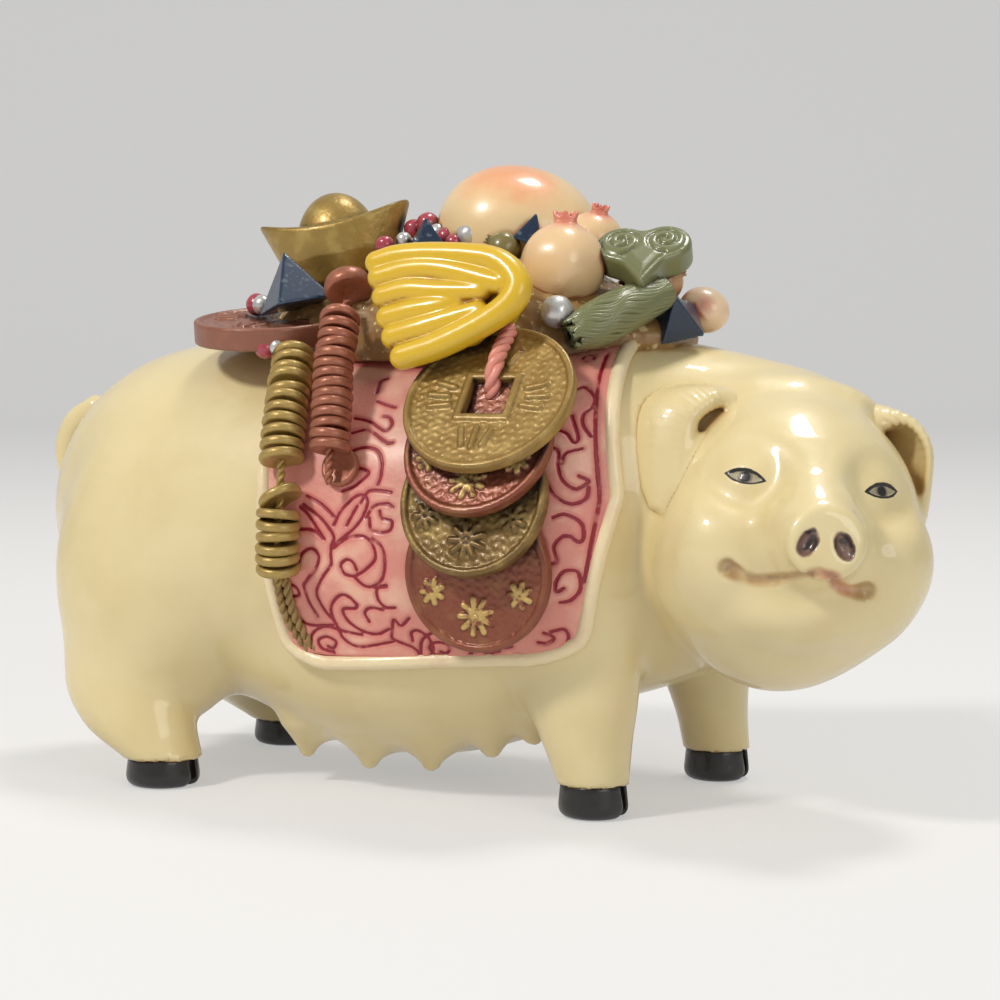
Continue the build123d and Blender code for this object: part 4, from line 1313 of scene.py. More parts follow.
def new_tree(name, numbers):
    """A Geometry Nodes tree with a geometry input, a Material input and named numbers."""
    tree = bpy.data.node_groups.new(name, "GeometryNodeTree")
    tree.interface.new_socket("Geometry", in_out="INPUT", socket_type="NodeSocketGeometry")
    for label, kind in numbers:
        tree.interface.new_socket(label, in_out="INPUT", socket_type=kind)
    tree.interface.new_socket("Material", in_out="INPUT", socket_type="NodeSocketMaterial")
    tree.interface.new_socket("Geometry", in_out="OUTPUT", socket_type="NodeSocketGeometry")
    return tree


def add_step(tree, kind, settings=None, inputs=None):
    node = tree.nodes.new(kind)
    for key, value in (settings or {}).items():
        setattr(node, key, value)
    for key, value in (inputs or {}).items():
        if isinstance(value, bpy.types.NodeSocket):
            tree.links.new(value, node.inputs[key])
        else:
            node.inputs[key].default_value = value
    return node


def finished(tree, geometry, material):
    """Ends a tree: its geometry made real and painted with the material that it is given."""
    real = add_step(tree, "GeometryNodeRealizeInstances", None, {0: geometry})
    painted = add_step(tree, "GeometryNodeSetMaterial", None, {0: real.outputs[0], "Material": material})
    add_step(tree, "NodeGroupOutput", None, {0: painted.outputs[0]})
    return tree


def sweep_tree():
    tree = new_tree("Sweep a round section", [("Radius", "NodeSocketFloat"), ("Sides", "NodeSocketInt")])
    start = tree.nodes.new("NodeGroupInput").outputs
    ring = add_step(tree, "GeometryNodeCurvePrimitiveCircle", None, {"Resolution": start["Sides"]})
    tree.links.new(start["Radius"], ring.inputs["Radius"])
    swept = add_step(tree, "GeometryNodeCurveToMesh", None, {
        "Curve": start["Geometry"], "Profile Curve": ring.outputs[0], "Fill Caps": True,
    })
    smooth = add_step(tree, "GeometryNodeSetShadeSmooth", None, {0: swept.outputs[0]})
    return finished(tree, smooth.outputs[0], start["Material"])


def grown(name, base, tree, values, paint):
    """Makes a piece of the plain mesh that a tree grows from a base object."""
    values = {**values, "Material": paint}
    modifier = base.modifiers.new("Growth", "NODES")
    modifier.node_group = tree
    for item in tree.interface.items_tree:
        if item.in_out == "INPUT" and item.name in values:
            modifier[item.identifier] = values[item.name]
    base.update_tag()
    graph = bpy.context.evaluated_depsgraph_get()
    mesh = bpy.data.meshes.new_from_object(base.evaluated_get(graph))
    bpy.data.objects.remove(base)
    mesh.name = name
    mesh.validate()
    places = np.empty(len(mesh.vertices) * 3, np.float32)
    mesh.vertices.foreach_get("co", places)
    ways = np.empty(len(mesh.vertices) * 3, np.float32)
    mesh.vertices.foreach_get("normal", ways)
    recess, ridge = relief_of(places.reshape(-1, 3) / mm, ways.reshape(-1, 3))
    for label, numbers in (("recess", recess), ("ridge", ridge)):
        layer = mesh.attributes.new(label, "FLOAT", "POINT")
        layer.data.foreach_set("value", numbers.astype(np.float32))
    print(name, "faces", len(mesh.polygons))
    mount(name, mesh, paint)


def lines_object(lines, closed=False, thickness=None):
    """A curve object whose splines follow lines in mm. Each may have a thickness share per point."""
    curve = bpy.data.curves.new("lines", "CURVE")
    curve.dimensions = "3D"
    for number, line in enumerate(lines):
        spline = curve.splines.new("POLY")
        spline.points.add(len(line) - 1)
        rows = np.column_stack([line * mm, np.ones(len(line))])
        spline.points.foreach_set("co", rows.astype(np.float32).ravel())
        if thickness is not None:
            spline.points.foreach_set("radius", np.asarray(thickness[number], np.float32))
        spline.use_cyclic_u = closed
    line_piece = bpy.data.objects.new("lines", curve)
    bpy.context.scene.collection.objects.link(line_piece)
    return line_piece


sweep = sweep_tree()

# %% The hem's line
hem_radius = 1.22
hem_lift = 0.62
hem_net = draped(np.linspace(0, 1, 25), np.linspace(1, -1, 121), hem_lift)
hem_loop = np.concatenate([hem_net[:, 0], hem_net[-1, 1:], hem_net[-2::-1, -1], hem_net[0, -2:0:-1]])
hem_loop = (np.roll(hem_loop, 1, axis=0) + 2 * hem_loop + np.roll(hem_loop, -1, axis=0)) / 4

# %% [markdown]
# ## Coins
#
# Four large cash coins hang over each other on the right flank. Each is a disc with a raised rim and a
# sunken field of stippled metal, on which small rosettes or bars of plain petals stand. On the copper
# coins they are gilded. Only the top coin shows its framed square hole.

# %% Large coins


def flank_place(x_share, z_share, lift):
    """A place off the trunk's right side, and the direction away from it, as in the CAD model."""
    rows = trunk_shares
    top, bottom, width = [np.interp(x_share, rows[:, 0], rows[:, column]) for column in (1, 2, 3)]
    half_width = trunk_width * width / 2
    half_height = back_height * (top - bottom) / 2
    rise = (z_share * back_height - back_height * (top + bottom) / 2) / half_height
    side = math.sqrt(1 - rise * rise)
    outward = np.array([0, -side / half_width, rise / half_height])
    outward = outward / norm(outward)
    foot = on_figurine(x_share, 0, z_share) - np.array([0, half_width * side, 0])
    return foot + outward * lift, outward


def facing_spot(place, outward, tip):
    """A frame whose third direction points outward, tipped about its first by degrees."""
    right = np.array([1.0, 0, 0]) - outward * outward[0]
    right = right / norm(right)
    axes = np.column_stack([right, np.cross(outward, right), outward])
    return np.asarray(place, float), axes @ turned(np.zeros(3), (-tip, 0, 0))[1]


def stipple(u, v, size):
    """Small rounded bumps all over, between -1 and 1."""
    first = np.sin(u / size * 2.1 + 1.3 * np.sin(v / size * 1.3))
    second = np.sin(v / size * 2.3 + 1.7 * np.sin(u / size))
    return (first + second) / 2


def bar(u, v, places, width):
    """How far places of a coin's face lie outside a drawn bar."""
    flat = np.stack([u, v], -1)
    return rod(flat, np.asarray(places, float), np.full(len(places), width))


def rosette(middle, count, inner, outer):
    """Petals drawn round a middle, each as a pair of ends."""
    rows = []
    for index in range(count):
        angle = 2 * math.pi * (index + 0.5) / count
        ray = np.array([math.cos(angle), math.sin(angle)])
        rows.append([middle + ray * inner, middle + ray * outer])
    return rows


petal_width = 0.26
petal_slope = 0.35
petal_places = {
    "top": [
        [(0.0, 5.6), (0.0, 8.6)], [(-1.6, 6.2), (-2.6, 8.2)], [(1.6, 6.2), (2.6, 8.2)],
        [(-5.8, 1.6), (-8.6, 2.4)], [(-5.8, -1.6), (-8.8, -2.0)], [(-6.4, 0.0), (-9.4, 0.2)],
        [(5.8, 1.6), (8.6, 2.4)], [(5.8, -1.6), (8.8, -2.0)], [(6.4, 0.0), (9.4, 0.2)],
        [(-2.4, -6.2), (-1.6, -9.0)], [(2.4, -6.2), (1.6, -9.0)], [(0.0, -5.9), (0.0, -9.4)],
    ],
    "low": [
        *rosette((0.0, -6.2), 9, 0.9, 2.6), *rosette((0.0, -6.2), 1, 0.0, 0.1),
        *rosette((-7.0, -2.8), 7, 0.6, 1.7), *rosette((7.0, -2.8), 7, 0.6, 1.7),
    ],
}


def petal_relief(u, v, petals):
    """How far places of a coin's face belong to a raised petal, from 0 to 1."""
    raised = np.zeros(len(u))
    for places in petals:
        share = (petal_slope - bar(u, v, places, petal_width)) / petal_slope
        raised = np.maximum(raised, np.clip(share, 0, 1))
    return raised


def petals_on(spot, petals):
    """The same, as a rule that measures the vertices of a coin that lies at a spot."""
    def measured(points):
        local = into(points, spot)
        return petal_relief(local[:, 0], local[:, 1], petals) * (local[:, 2] > 0)

    return measured


def large_coin(spot, radius, thickness, petals, with_hole):
    """A cash coin's field: body, rim, ring of hollow, petals and, if asked, a framed hole."""
    rim = 1.25
    sunk = 0.42
    stipple_height = 0.13
    petal_height = 0.50

    def field(points):
        local = into(points, spot)
        u, v = local[:, 0], local[:, 1]
        reach = np.sqrt(u * u + v * v)
        height = stipple_height * stipple(u, v, 0.46) - sunk
        height = np.maximum(height, petal_height * petal_relief(u, v, petals) - sunk)
        edge = np.clip((reach - (radius - rim)) / 0.35, 0, 1)
        height = height * (1 - edge)
        if with_hole:
            square = np.maximum(np.abs(u), np.abs(v))
            frame_edge = np.clip((4.6 - square) / 0.3, 0, 1)
            height = height * (1 - frame_edge)
        coin = keep(reach - radius, local[:, 2] - thickness / 2 - height, 0.45)
        coin = keep(coin, -local[:, 2] - thickness / 2, 0.3)
        if with_hole:
            coin = carve(coin, np.maximum(square - 3.3, -1.2 - local[:, 2]), 0.25)
        return coin

    low, high = spot[0] - radius - 1, spot[0] + radius + 1
    return field, low, high


coin_thickness = 1.9
# For each coin: its place on the flank, how many thicknesses it is lifted, its tip and its radius.
coin_rows = {
    "hanging_coin_top": (0.104, 0.828, 2.55, 5.0, 13.2),
    "hanging_coin_second": (0.099, 0.758, 1.75, 7.0, 11.5),
    "hanging_coin_third": (0.098, 0.665, 1.15, 7.0, 11.5),
    "hanging_coin_lowest": (0.099, 0.526, 0.55, 8.0, 11.5),
}
coin_petals = {}
for name, (x_share, z_share, lift, tip, radius) in coin_rows.items():
    place, outward = flank_place(x_share, z_share, cloth_thickness + coin_thickness * lift)
    spot = facing_spot(place, outward, tip)
    on_top = name == "hanging_coin_top"
    petals = petal_places["top" if on_top else "low"]
    form(name, *large_coin(spot, radius, coin_thickness, petals, on_top))
    coin_petals[name] = petals_on(spot, petals)

flat_spot = turned(on_heap(-0.350, -0.250, 0.065), (9.0, 2.0, 0.0))
form("flat_coin", *large_coin(flat_spot, 12.4, 3.6, petal_places["top"], False))

far_coin_places = [
    ((-0.200, 0.265, 0.260), (-42.0, 0.0, 10.0)),
    ((-0.030, 0.345, 0.210), (-50.0, 4.0, 30.0)),
    ((0.300, 0.210, 0.230), (-44.0, 10.0, 0.0)),
]
far_spots = [turned(on_heap(*place), turn) for place, turn in far_coin_places]


def far_coins_field(points):
    field = np.full(len(points), 50.0)
    for spot in far_spots:
        local = into(points, spot)
        reach = np.sqrt(local[:, 0] ** 2 + local[:, 1] ** 2)
        square = np.maximum(np.abs(local[:, 0]), np.abs(local[:, 1]))
        height = -0.25 * (1 - np.clip((reach - 4.7) / 0.3, 0, 1)) * np.clip((square - 1.7) / 0.3, 0, 1)
        coin = keep(reach - 5.6, np.abs(local[:, 2]) - 0.9 - height, 0.35)
        coin = carve(coin, square - 1.1, 0.2)
        field = np.minimum(field, coin)
    return field


form("far_coins", far_coins_field, *box_around([spot[0] for spot in far_spots], 7.0))

# %% [markdown]
# ## Fruit, ingot and sceptre
#
# Each treasure was sculpted by itself: smooth round peaches, pomegranates with small crumpled crowns, a
# citron whose long yellow fingers close in a loop, an ingot with its dome, and a sceptre head with two
# carved spirals.

# %% Peaches and pomegranates


def peach_field(place, turn, radius, spacing):
    spot = turned(on_heap(*place), turn)

    def field(points):
        local = into(points, spot)
        left = ball(local, np.array([-spacing / 2, 0, 0]), radius)
        right = ball(local, np.array([spacing / 2, 0, 0]), radius)
        return join(left, right, radius * 0.34)

    reach = radius + spacing / 2 + 1
    return field, spot[0] - reach, spot[0] + reach


form("peach_large", *peach_field((0.060, 0.110, 0.598), (0.0, 14.0, 20.0), 10.9, 5.0))
form("peach_small", *peach_field((0.452, 0.035, 0.165), (0.0, 20.0, 0.0), 3.3, 1.4))

pomegranates = {
    "pomegranate_near": (1.00, (0.225, -0.165, 0.415), (-4.0, 2.0, 0.0)),
    "pomegranate_far": (0.74, (0.232, 0.040, 0.560), (4.0, 14.0, 0.0)),
    "pomegranate_olive": (0.40, (0.098, -0.130, 0.520), (35.0, -52.0, 0.0)),
    "pomegranate_tan": (0.48, (0.382, -0.010, 0.325), (0.0, 62.0, 0.0)),
}
fruit_spots = {}


def pomegranate_field(name, size, place, turn):
    spot = turned(on_heap(*place), turn)
    fruit_spots[name] = (spot, size)
    radius = 6.6

    def field(points):
        local = into(points, spot) / size
        angle = np.arctan2(local[:, 1], local[:, 0])
        ribs = 0.12 * np.cos(6 * angle) * np.clip(1 - np.abs(local[:, 2]) / radius, 0, 1)
        fruit = ball(local, np.zeros(3), radius) - ribs
        round_reach = np.sqrt(local[:, 0] ** 2 + local[:, 1] ** 2)
        height = np.clip(local[:, 2] - radius, -1.0, 2.4)
        flare = 1.15 + 0.22 * np.maximum(height, 0) + 0.22 * np.cos(3 * angle + 0.6)
        tips = 1.25 + 0.45 * np.cos(5 * angle)
        wall = np.abs(round_reach - flare) - 0.46
        crown = keep(wall, local[:, 2] - radius - tips, 0.3)
        crown = np.maximum(crown, radius - 1.0 - local[:, 2])
        fruit = join(fruit, crown, 0.7)
        pit = ellipsoid(local, np.array([0, 0, radius + 0.5]), np.array([1.15, 1.15, 1.3]))
        return carve(fruit, pit, 0.3) * size

    reach = (radius + 4.2) * size
    return field, spot[0] - reach, spot[0] + reach


for name, (size, place, turn) in pomegranates.items():
    form(name, *pomegranate_field(name, size, place, turn))

# %% Citron
citron_fingers = [
    [
        (-0.063, -0.442, 0.424, 0.95), (-0.019, -0.436, 0.456, 1.00), (0.060, -0.435, 0.464, 1.00),
        (0.165, -0.441, 0.431, 1.05), (0.215, -0.460, 0.320, 1.10), (0.214, -0.479, 0.211, 1.10),
        (0.170, -0.499, 0.097, 1.05), (0.086, -0.522, -0.033, 1.05), (0.017, -0.534, -0.099, 1.00),
    ],
    [
        (-0.053, -0.457, 0.340, 0.95), (0.009, -0.449, 0.382, 1.00),
        (0.079, -0.451, 0.374, 1.00), (0.186, -0.466, 0.300, 0.90),
    ],
    [
        (-0.039, -0.475, 0.233, 0.95), (0.011, -0.470, 0.265, 1.00),
        (0.071, -0.471, 0.258, 0.95), (0.150, -0.472, 0.260, 0.80),
    ],
    [
        (-0.024, -0.496, 0.116, 0.95), (0.022, -0.490, 0.149, 1.00),
        (0.075, -0.484, 0.176, 0.95), (0.105, -0.476, 0.200, 0.70),
    ],
    [
        (-0.008, -0.514, 0.011, 0.95), (0.033, -0.509, 0.044, 1.00),
        (0.089, -0.497, 0.094, 1.00), (0.150, -0.486, 0.150, 0.85),
    ],
]
citron_finger_radius = 1.95
citron_palm = [
    [(-0.020, -0.395, 0.350), (0.170, -0.395, 0.330)],
    [(0.000, -0.420, 0.200), (0.165, -0.420, 0.200)],
    [(0.030, -0.455, 0.030), (0.120, -0.450, 0.070)],
]


def citron_field(points):
    """Long fingers that close in a loop, on a palm behind them."""
    field = ellipsoid(points, on_heap(0.100, -0.340, 0.170), np.array([7.4, 5.6, 5.6]))
    for ends in citron_palm:
        field = join(field, rod(points, [on_heap(*end) for end in ends], [3.1, 3.1]), 1.5)
    slot = [on_heap(0.105, -0.470, 0.165), on_heap(0.190, -0.462, 0.215)]
    field = carve(field, rod(points, slot, [1.2, 1.5]), 0.6)
    for rows in citron_fingers:
        fine = curve_through(rows, 5 * len(rows))
        places = [on_heap(*row[:3]) for row in fine]
        field = join(field, rod(points, places, list(fine[:, 3] * citron_finger_radius)), 0.5)
    return field


citron_places = [on_heap(*row[:3]) for rows in citron_fingers for row in rows]
form("citron", citron_field, *box_around(citron_places, 9.0))

# %% Ingot
ingot_spot = turned(on_heap(-0.270, -0.060, 0.535), (-4.0, -11.0, 12.0))


def ingot_field(points):
    """A boat with a thick rim, raised ends and a dome between them."""
    local = into(points, ingot_spot)
    level = np.clip((local[:, 2] + 6.0) / 12.0, 0, 1.15)
    below = np.clip(level / 0.375, 0, 1)
    above = np.clip((level - 0.375) / 0.625, 0, 1.2)
    half_length = 12.75 * (0.52 + 0.24 * below + 0.24 * above)
    half_width = 7.25 * (0.52 + 0.36 * below + 0.12 * above)
    hull = oval_distance(local[:, 0], local[:, 1], half_length, half_width) * 0.9
    top = 3.4 + 0.0178 * local[:, 0] ** 2
    hull = keep(hull, local[:, 2] - top, 1.0)
    hull = keep(hull, -6.0 - local[:, 2], 1.4)
    bowl = ellipsoid(local, np.array([0, 0, 4.9]), np.array([10.6, 5.1, 4.0]))
    hull = carve(hull, bowl, 0.9)
    dome = ellipsoid(local, np.array([0, 0, 1.2]), np.array([6.6, 5.8, 8.1]))
    return join(hull, dome, 0.5)


form("ingot", ingot_field, ingot_spot[0] - 14.5, ingot_spot[0] + 14.5)

# %% Sceptre head and its tassel's core
sceptre_spot = turned(on_heap(0.366, -0.095, 0.490), (38.0, 8.0, 14.0))
spiral_lines = []
for side in (-1, 1):
    angles = np.linspace(0.4, 3.5 * math.pi, 34)
    radii = np.linspace(0.35, 3.15, 34)
    u = side * (3.35 + radii * np.cos(angles) * 0.95)
    spiral_lines.append(np.stack([u, 0.15 + radii * np.sin(angles)], -1))


def sceptre_field(points):
    """A cloud-shaped head of two lobes and a point, with a spiral cut in each lobe."""
    local = into(points, sceptre_spot)
    u, v = local[:, 0], local[:, 1]
    flat = np.stack([u, v], -1)
    outline = norm(flat - np.array([-3.2, 0])) - 4.1
    outline = join(outline, norm(flat - np.array([3.2, 0])) - 4.1, 1.6)
    point = rod(flat, np.array([[0.0, -2.0], [0.0, -9.2]]), [4.6, 0.5])
    outline = join(outline, point, 1.5)
    raised = 0.5 * np.clip(-outline / 2.2, 0, 1)
    head_field = keep(outline, local[:, 2] - 1.9 - raised, 0.9)
    head_field = keep(head_field, -local[:, 2] - 2.3, 0.8)
    cut = line_distance(flat, spiral_lines, 2.0)
    border = np.abs(outline + 0.85)
    deep = np.maximum(0.46 * np.clip(1 - cut / 0.46, 0, 1), 0.20 * np.clip(1 - border / 0.35, 0, 1))
    head_field = np.where(local[:, 2] > 0, head_field + deep, head_field)
    neck = rod(local, np.array([[0, 0, -1.5], [0, 0, -9.0]]), [3.6, 3.3])
    return join(head_field, neck, 0.8)


form("sceptre_head", sceptre_field, sceptre_spot[0] - 12.0, sceptre_spot[0] + 12.0)

tassel_rows = [
    (0.410, -0.130, 0.260, 0.16, 0.22),
    (0.360, -0.230, 0.160, 0.22, 0.28),
    (0.320, -0.310, 0.070, 0.22, 0.24),
    (0.288, -0.360, 0.015, 0.14, 0.14),
]
tassel_size = 30.0


def tassel_strands(count):
    """Threads that fan out inside the tassel's outline, each a line in mm with its own thickness."""
    steps = 26
    rows = curve_through(tassel_rows, steps)
    places = np.array([on_heap(*row[:3]) for row in rows])
    ways = np.gradient(places, axis=0)
    ways = ways / norm(ways)[:, None]
    across = np.array([0, 0, 1.0]) - ways * ways[:, 2:3]
    across = across / norm(across)[:, None]
    beside = np.cross(ways, across)
    lines, thickness = [], []
    dice = np.random.default_rng(5)
    for number in range(count):
        ring = 1.0 if number < count * 0.66 else 0.55
        angle = number * 2.39996 if ring < 1 else 2 * math.pi * number / (count * 0.66)
        sway = 0.20 * np.sin(np.linspace(0, 15, steps) + 4 * angle + dice.uniform(0, 0.9))
        u = (np.cos(angle + sway) * ring * 0.90 * rows[:, 3] / 2 * tassel_size)[:, None]
        v = (np.sin(angle + sway) * ring * 0.90 * rows[:, 4] / 2 * tassel_size)[:, None]
        last = steps if ring < 1 else int(dice.integers(steps - 3, steps + 1))
        lines.append((places + across * u + beside * v)[:last])
        thickness.append(1.0 - 0.35 * np.linspace(0, 1, last) ** 3)
    return lines, thickness


def tassel_core(points):
    rows = curve_through(tassel_rows, 8)
    places = [on_heap(*row[:3]) for row in rows]
    return rod(points, places, list(rows[:, 3:].min(axis=1) / 2 * tassel_size * 0.86))


form("sceptre_tassel", tassel_core, *box_around([on_heap(*row[:3]) for row in tassel_rows], 5.0))

# %% Gems, pearls and beads
gems = {
    "gem_rear": (1.18, (-0.280, -0.300, 0.190), (0.0, -14.0, 50.0)),
    "gem_middle": (0.74, (-0.045, -0.180, 0.500), (4.0, 0.0, 40.0)),
    "gem_top": (0.62, (0.135, -0.090, 0.560), (0.0, 18.0, 20.0)),
    "gem_front": (0.85, (0.428, -0.075, 0.080), (48.0, 10.0, 25.0)),
}


def gem_field(size, place, turn):
    """A cut four-sided pyramid with softened edges."""
    spot = turned(on_heap(*place), turn)
    slope = math.atan2(7.6, 4.0)

    def field(points):
        local = into(points, spot) / size
        sides = [np.abs(local[:, 0]), np.abs(local[:, 1])]
        faces = [(side - 4.0) * math.sin(slope) + local[:, 2] * math.cos(slope) for side in sides]
        gem = keep(faces[0], faces[1], 0.22)
        return keep(gem, -local[:, 2], 0.3) * size

    reach = 8.4 * size
    return field, spot[0] - reach, spot[0] + reach


for name, values in gems.items():
    form(name, *gem_field(*values))

pearl_rows = [
    (1.00, (0.258, -0.330, 0.150)),
    (0.90, (0.012, -0.075, 0.600)),
    (0.66, (-0.366, -0.262, 0.200)),
    (0.52, (-0.098, -0.165, 0.575)),
    (0.60, (-0.063, -0.050, 0.625)),
    (0.52, (-0.276, -0.428, -0.045)),
]
bead_rows = [
    (0.95, (-0.392, -0.225, 0.205)),
    (1.00, (-0.091, -0.025, 0.680)),
    (0.85, (-0.124, -0.015, 0.655)),
    (0.80, (-0.126, -0.200, 0.545)),
    (0.85, (-0.040, -0.066, 0.595)),
    (0.75, (-0.014, -0.100, 0.560)),
    (0.90, (-0.300, -0.430, -0.050)),
]


def balls_form(name, radius, rows):
    """Round pieces of one kind, each a little uneven, as cast resin is."""
    places = [on_heap(*place) for _, place in rows]
    radii = [radius * share for share, _ in rows]

    def field(points):
        waves = np.sin(points * [1.7, 1.9, 2.1] + [0, 1, 0])
        away = [ball(points, place, size) for place, size in zip(places, radii)]
        return np.min(away, axis=0) + 0.05 * waves.prod(axis=1)

    form(name, field, *box_around(places, 4.0))


balls_form("pearls", 2.5, pearl_rows)
balls_form("beads", 1.9, bead_rows)

# %% The bed under the heap
bed_rows = np.array([
    (-0.47, 0.14, 0.24),
    (-0.36, 0.27, 0.52),
    (-0.20, 0.40, 0.66),
    (0.00, 0.53, 0.76),
    (0.18, 0.48, 0.70),
    (0.32, 0.26, 0.46),
    (0.43, 0.10, 0.22),
])


def bed_field(points):
    """A lumpy mound, as of small treasures sunk in resin."""
    x, y = points[:, 0], points[:, 1]
    share = (x - middle_x) / heap_length
    held = np.clip(share, bed_rows[0, 0], bed_rows[-1, 0])
    height = along_table(held, bed_rows[:, 0], bed_rows[:, 1]) * heap_height
    half_width = along_table(held, bed_rows[:, 0], bed_rows[:, 2]) * heap_width / 2
    mound = oval_distance(y - spine_y, points[:, 2] - back_height, half_width, height)
    lumps = 0.55 * np.abs(np.sin(x * 0.75 + np.sin(y * 0.5)) * np.sin(y * 0.8))
    mound = np.maximum(mound + 0.45 - lumps, np.abs(share - held) * heap_length - 0.01)
    return keep(mound, back_height - 4.0 - points[:, 2], 0.5)


form("heap_bed", bed_field, *box_around([on_heap(-0.5, -0.42, -0.16), on_heap(0.46, 0.42, 0.56)], 1.0))
print("forms:", len(forms))

# %% [markdown]
# ## The pig's and the cloth's pieces
#
# Now that every form is known, the casting is skinned: each recess number counts what lies near the
# surface, so painted shade also darkens the glaze where treasures and coins press on it. Cells are
# finest in the face.

# %% Skins of pig and cloth
pig_lens = Lens(out_of(np.array([8.0, 0.0, 0.0]), head), 24.0, 2.5)
skinned("pig_body", 0.95, ivory_face_glaze, pig_lens, mouth=mouth_distance)
for name in ("ear_right", "ear_left", "tail"):
    skinned(name, 0.33, ivory_glaze)
for name in leg_rows:
    skinned("hoof_" + name, 0.36, black_hoof)

recess, ridge = relief_of(panel_places, panel_normals)
mesh_piece(
    "cloth_panel",
    np.concatenate([panel_places, low_points]),
    panel_faces,
    rose_cloth,
    recess=np.concatenate([recess, np.ones(len(low_points))]),
    ridge=np.concatenate([ridge, np.zeros(len(low_points))]),
    line_gap=panel_gap,
)
hem_sizes = {"Radius": hem_radius * mm, "Sides": 16}
grown("cloth_hem", lines_object([hem_loop], closed=True), sweep, hem_sizes, cream_hem)

# %% [markdown]
# ## Strings and cords
#
# The strings' coins are one small thick coin, repeated along a cord by Geometry Nodes: each copy takes
# its direction and size from the point that it stands on. The cords are twisted from two or three
# strands.

# %% Routes
copper_route_shares = [
    (-0.081, -0.335, 1.082),
    (-0.078, -0.392, 1.035),
    (-0.072, -0.455, 0.920),
    (-0.063, -0.512, 0.805),
    (-0.057, -0.552, 0.700),
]
brass_route_shares = [
    (-0.141, -0.345, 0.975),
    (-0.130, -0.425, 0.890),
    (-0.120, -0.500, 0.790),
    (-0.113, -0.548, 0.670),
    (-0.114, -0.558, 0.580),
    (-0.117, -0.540, 0.480),
]


def route_through(shares):
    return curve_through([on_figurine(*row) for row in shares], 160)


def on_route(route, lengths):
    """Places and directions at lengths along a route."""
    steps = np.concatenate([[0], np.cumsum(norm(np.diff(route, axis=0)))])
    ways = np.gradient(route, axis=0)
    places = np.column_stack([np.interp(lengths, steps, route[:, axis]) for axis in range(3)])
    ways = np.column_stack([np.interp(lengths, steps, ways[:, axis]) for axis in range(3)])
    return places, ways / norm(ways)[:, None], steps[-1]


def twisted(route, strands, radius, pitch):
    """Lines of strands that wind round a route."""
    _, _, length = on_route(route, np.zeros(1))
    lengths = np.linspace(0, length, max(int(length / pitch * 14), 12))
    places, ways, _ = on_route(route, lengths)
    right = np.cross(ways, [0.3, 0.2, 1.0])
    right = right / norm(right)[:, None]
    up = np.cross(ways, right)
    lines = []
    for strand in range(strands):
        turn = (lengths / pitch + strand / strands) * 2 * math.pi
        offset = right * np.cos(turn)[:, None] + up * np.sin(turn)[:, None]
        lines.append(places + offset * radius)
    return lines


def coin_tree():
    """Copies of one coin on points, turned to each point's direction."""
    tree = new_tree("Coins on points", [("Coin", "NodeSocketObject")])
    start = tree.nodes.new("NodeGroupInput").outputs
    named = "GeometryNodeInputNamedAttribute"
    as_made = {"transform_space": "ORIGINAL"}
    coin = add_step(tree, "GeometryNodeObjectInfo", as_made, {"Object": start["Coin"]})
    way = add_step(tree, named, {"data_type": "FLOAT_VECTOR"}, {"Name": "way"})
    size = add_step(tree, named, {"data_type": "FLOAT"}, {"Name": "size"})
    turn = add_step(tree, "FunctionNodeAlignRotationToVector", {"axis": "Z"}, {"Vector": way.outputs[0]})
    spread = add_step(tree, "GeometryNodeInstanceOnPoints", None, {
        "Points": start["Geometry"], "Instance": coin.outputs["Geometry"], "Rotation": turn.outputs[0],
        "Scale": size.outputs[0],
    })
    return finished(tree, spread.outputs[0], start["Material"])


def small_coin(name, radius, thickness):
    """A small thick coin with a worn round edge and a dimple, spun round its own axis."""
    profile = [
        (0.0, 0.30), (0.22, 0.30), (0.34, 0.42), (0.72, 0.42), (0.84, 0.50), (0.93, 0.44), (1.0, 0.18),
    ]
    profile = [(radius * reach, thickness * height) for reach, height in profile]
    profile = profile + [(reach, -height) for reach, height in profile[::-1]]
    sides = 28
    vertices, faces = [], []
    for reach, height in profile[1:-1]:
        for side in range(sides):
            angle = 2 * math.pi * side / sides
            vertices.append((reach * math.cos(angle), reach * math.sin(angle), height))
    rings = len(profile) - 2
    for ring in range(rings - 1):
        for side in range(sides):
            after = (side + 1) % sides
            here = ring * sides
            faces.append((here + side, here + sides + side, here + sides + after, here + after))
    mesh = bpy.data.meshes.new(name)
    faces.append(tuple(range(sides)))
    faces.append(tuple((rings - 1) * sides + side for side in range(sides))[::-1])
    mesh.from_pydata([tuple(value * mm for value in vertex) for vertex in vertices], [], faces)
    mesh.polygons.foreach_set("use_smooth", [True] * (len(faces) - 2) + [False] * 2)
    return bpy.data.objects.new(name, mesh)


def points_object(places, ways, sizes):
    """Points that carry a direction and a size each."""
    mesh = bpy.data.meshes.new("points")
    mesh.from_pydata([tuple(place * mm) for place in places], [], [])
    way = mesh.attributes.new("way", "FLOAT_VECTOR", "POINT")
    way.data.foreach_set("vector", np.asarray(ways, np.float32).ravel())
    size = mesh.attributes.new("size", "FLOAT", "POINT")
    size.data.foreach_set("value", np.asarray(sizes, np.float32))
    points = bpy.data.objects.new("points", mesh)
    bpy.context.scene.collection.objects.link(points)
    return points


def strung(start, pitch, count, route, dice):
    """Places, directions and sizes of coins on a route, each a little askew as on a real string."""
    lengths = start + pitch * np.arange(count)
    places, ways, _ = on_route(route, lengths)
    ways = ways + dice.normal(0, 0.045, ways.shape)
    return places + dice.normal(0, 0.07, places.shape), ways, 1 + dice.normal(0, 0.012, count)


# %% Metal paints


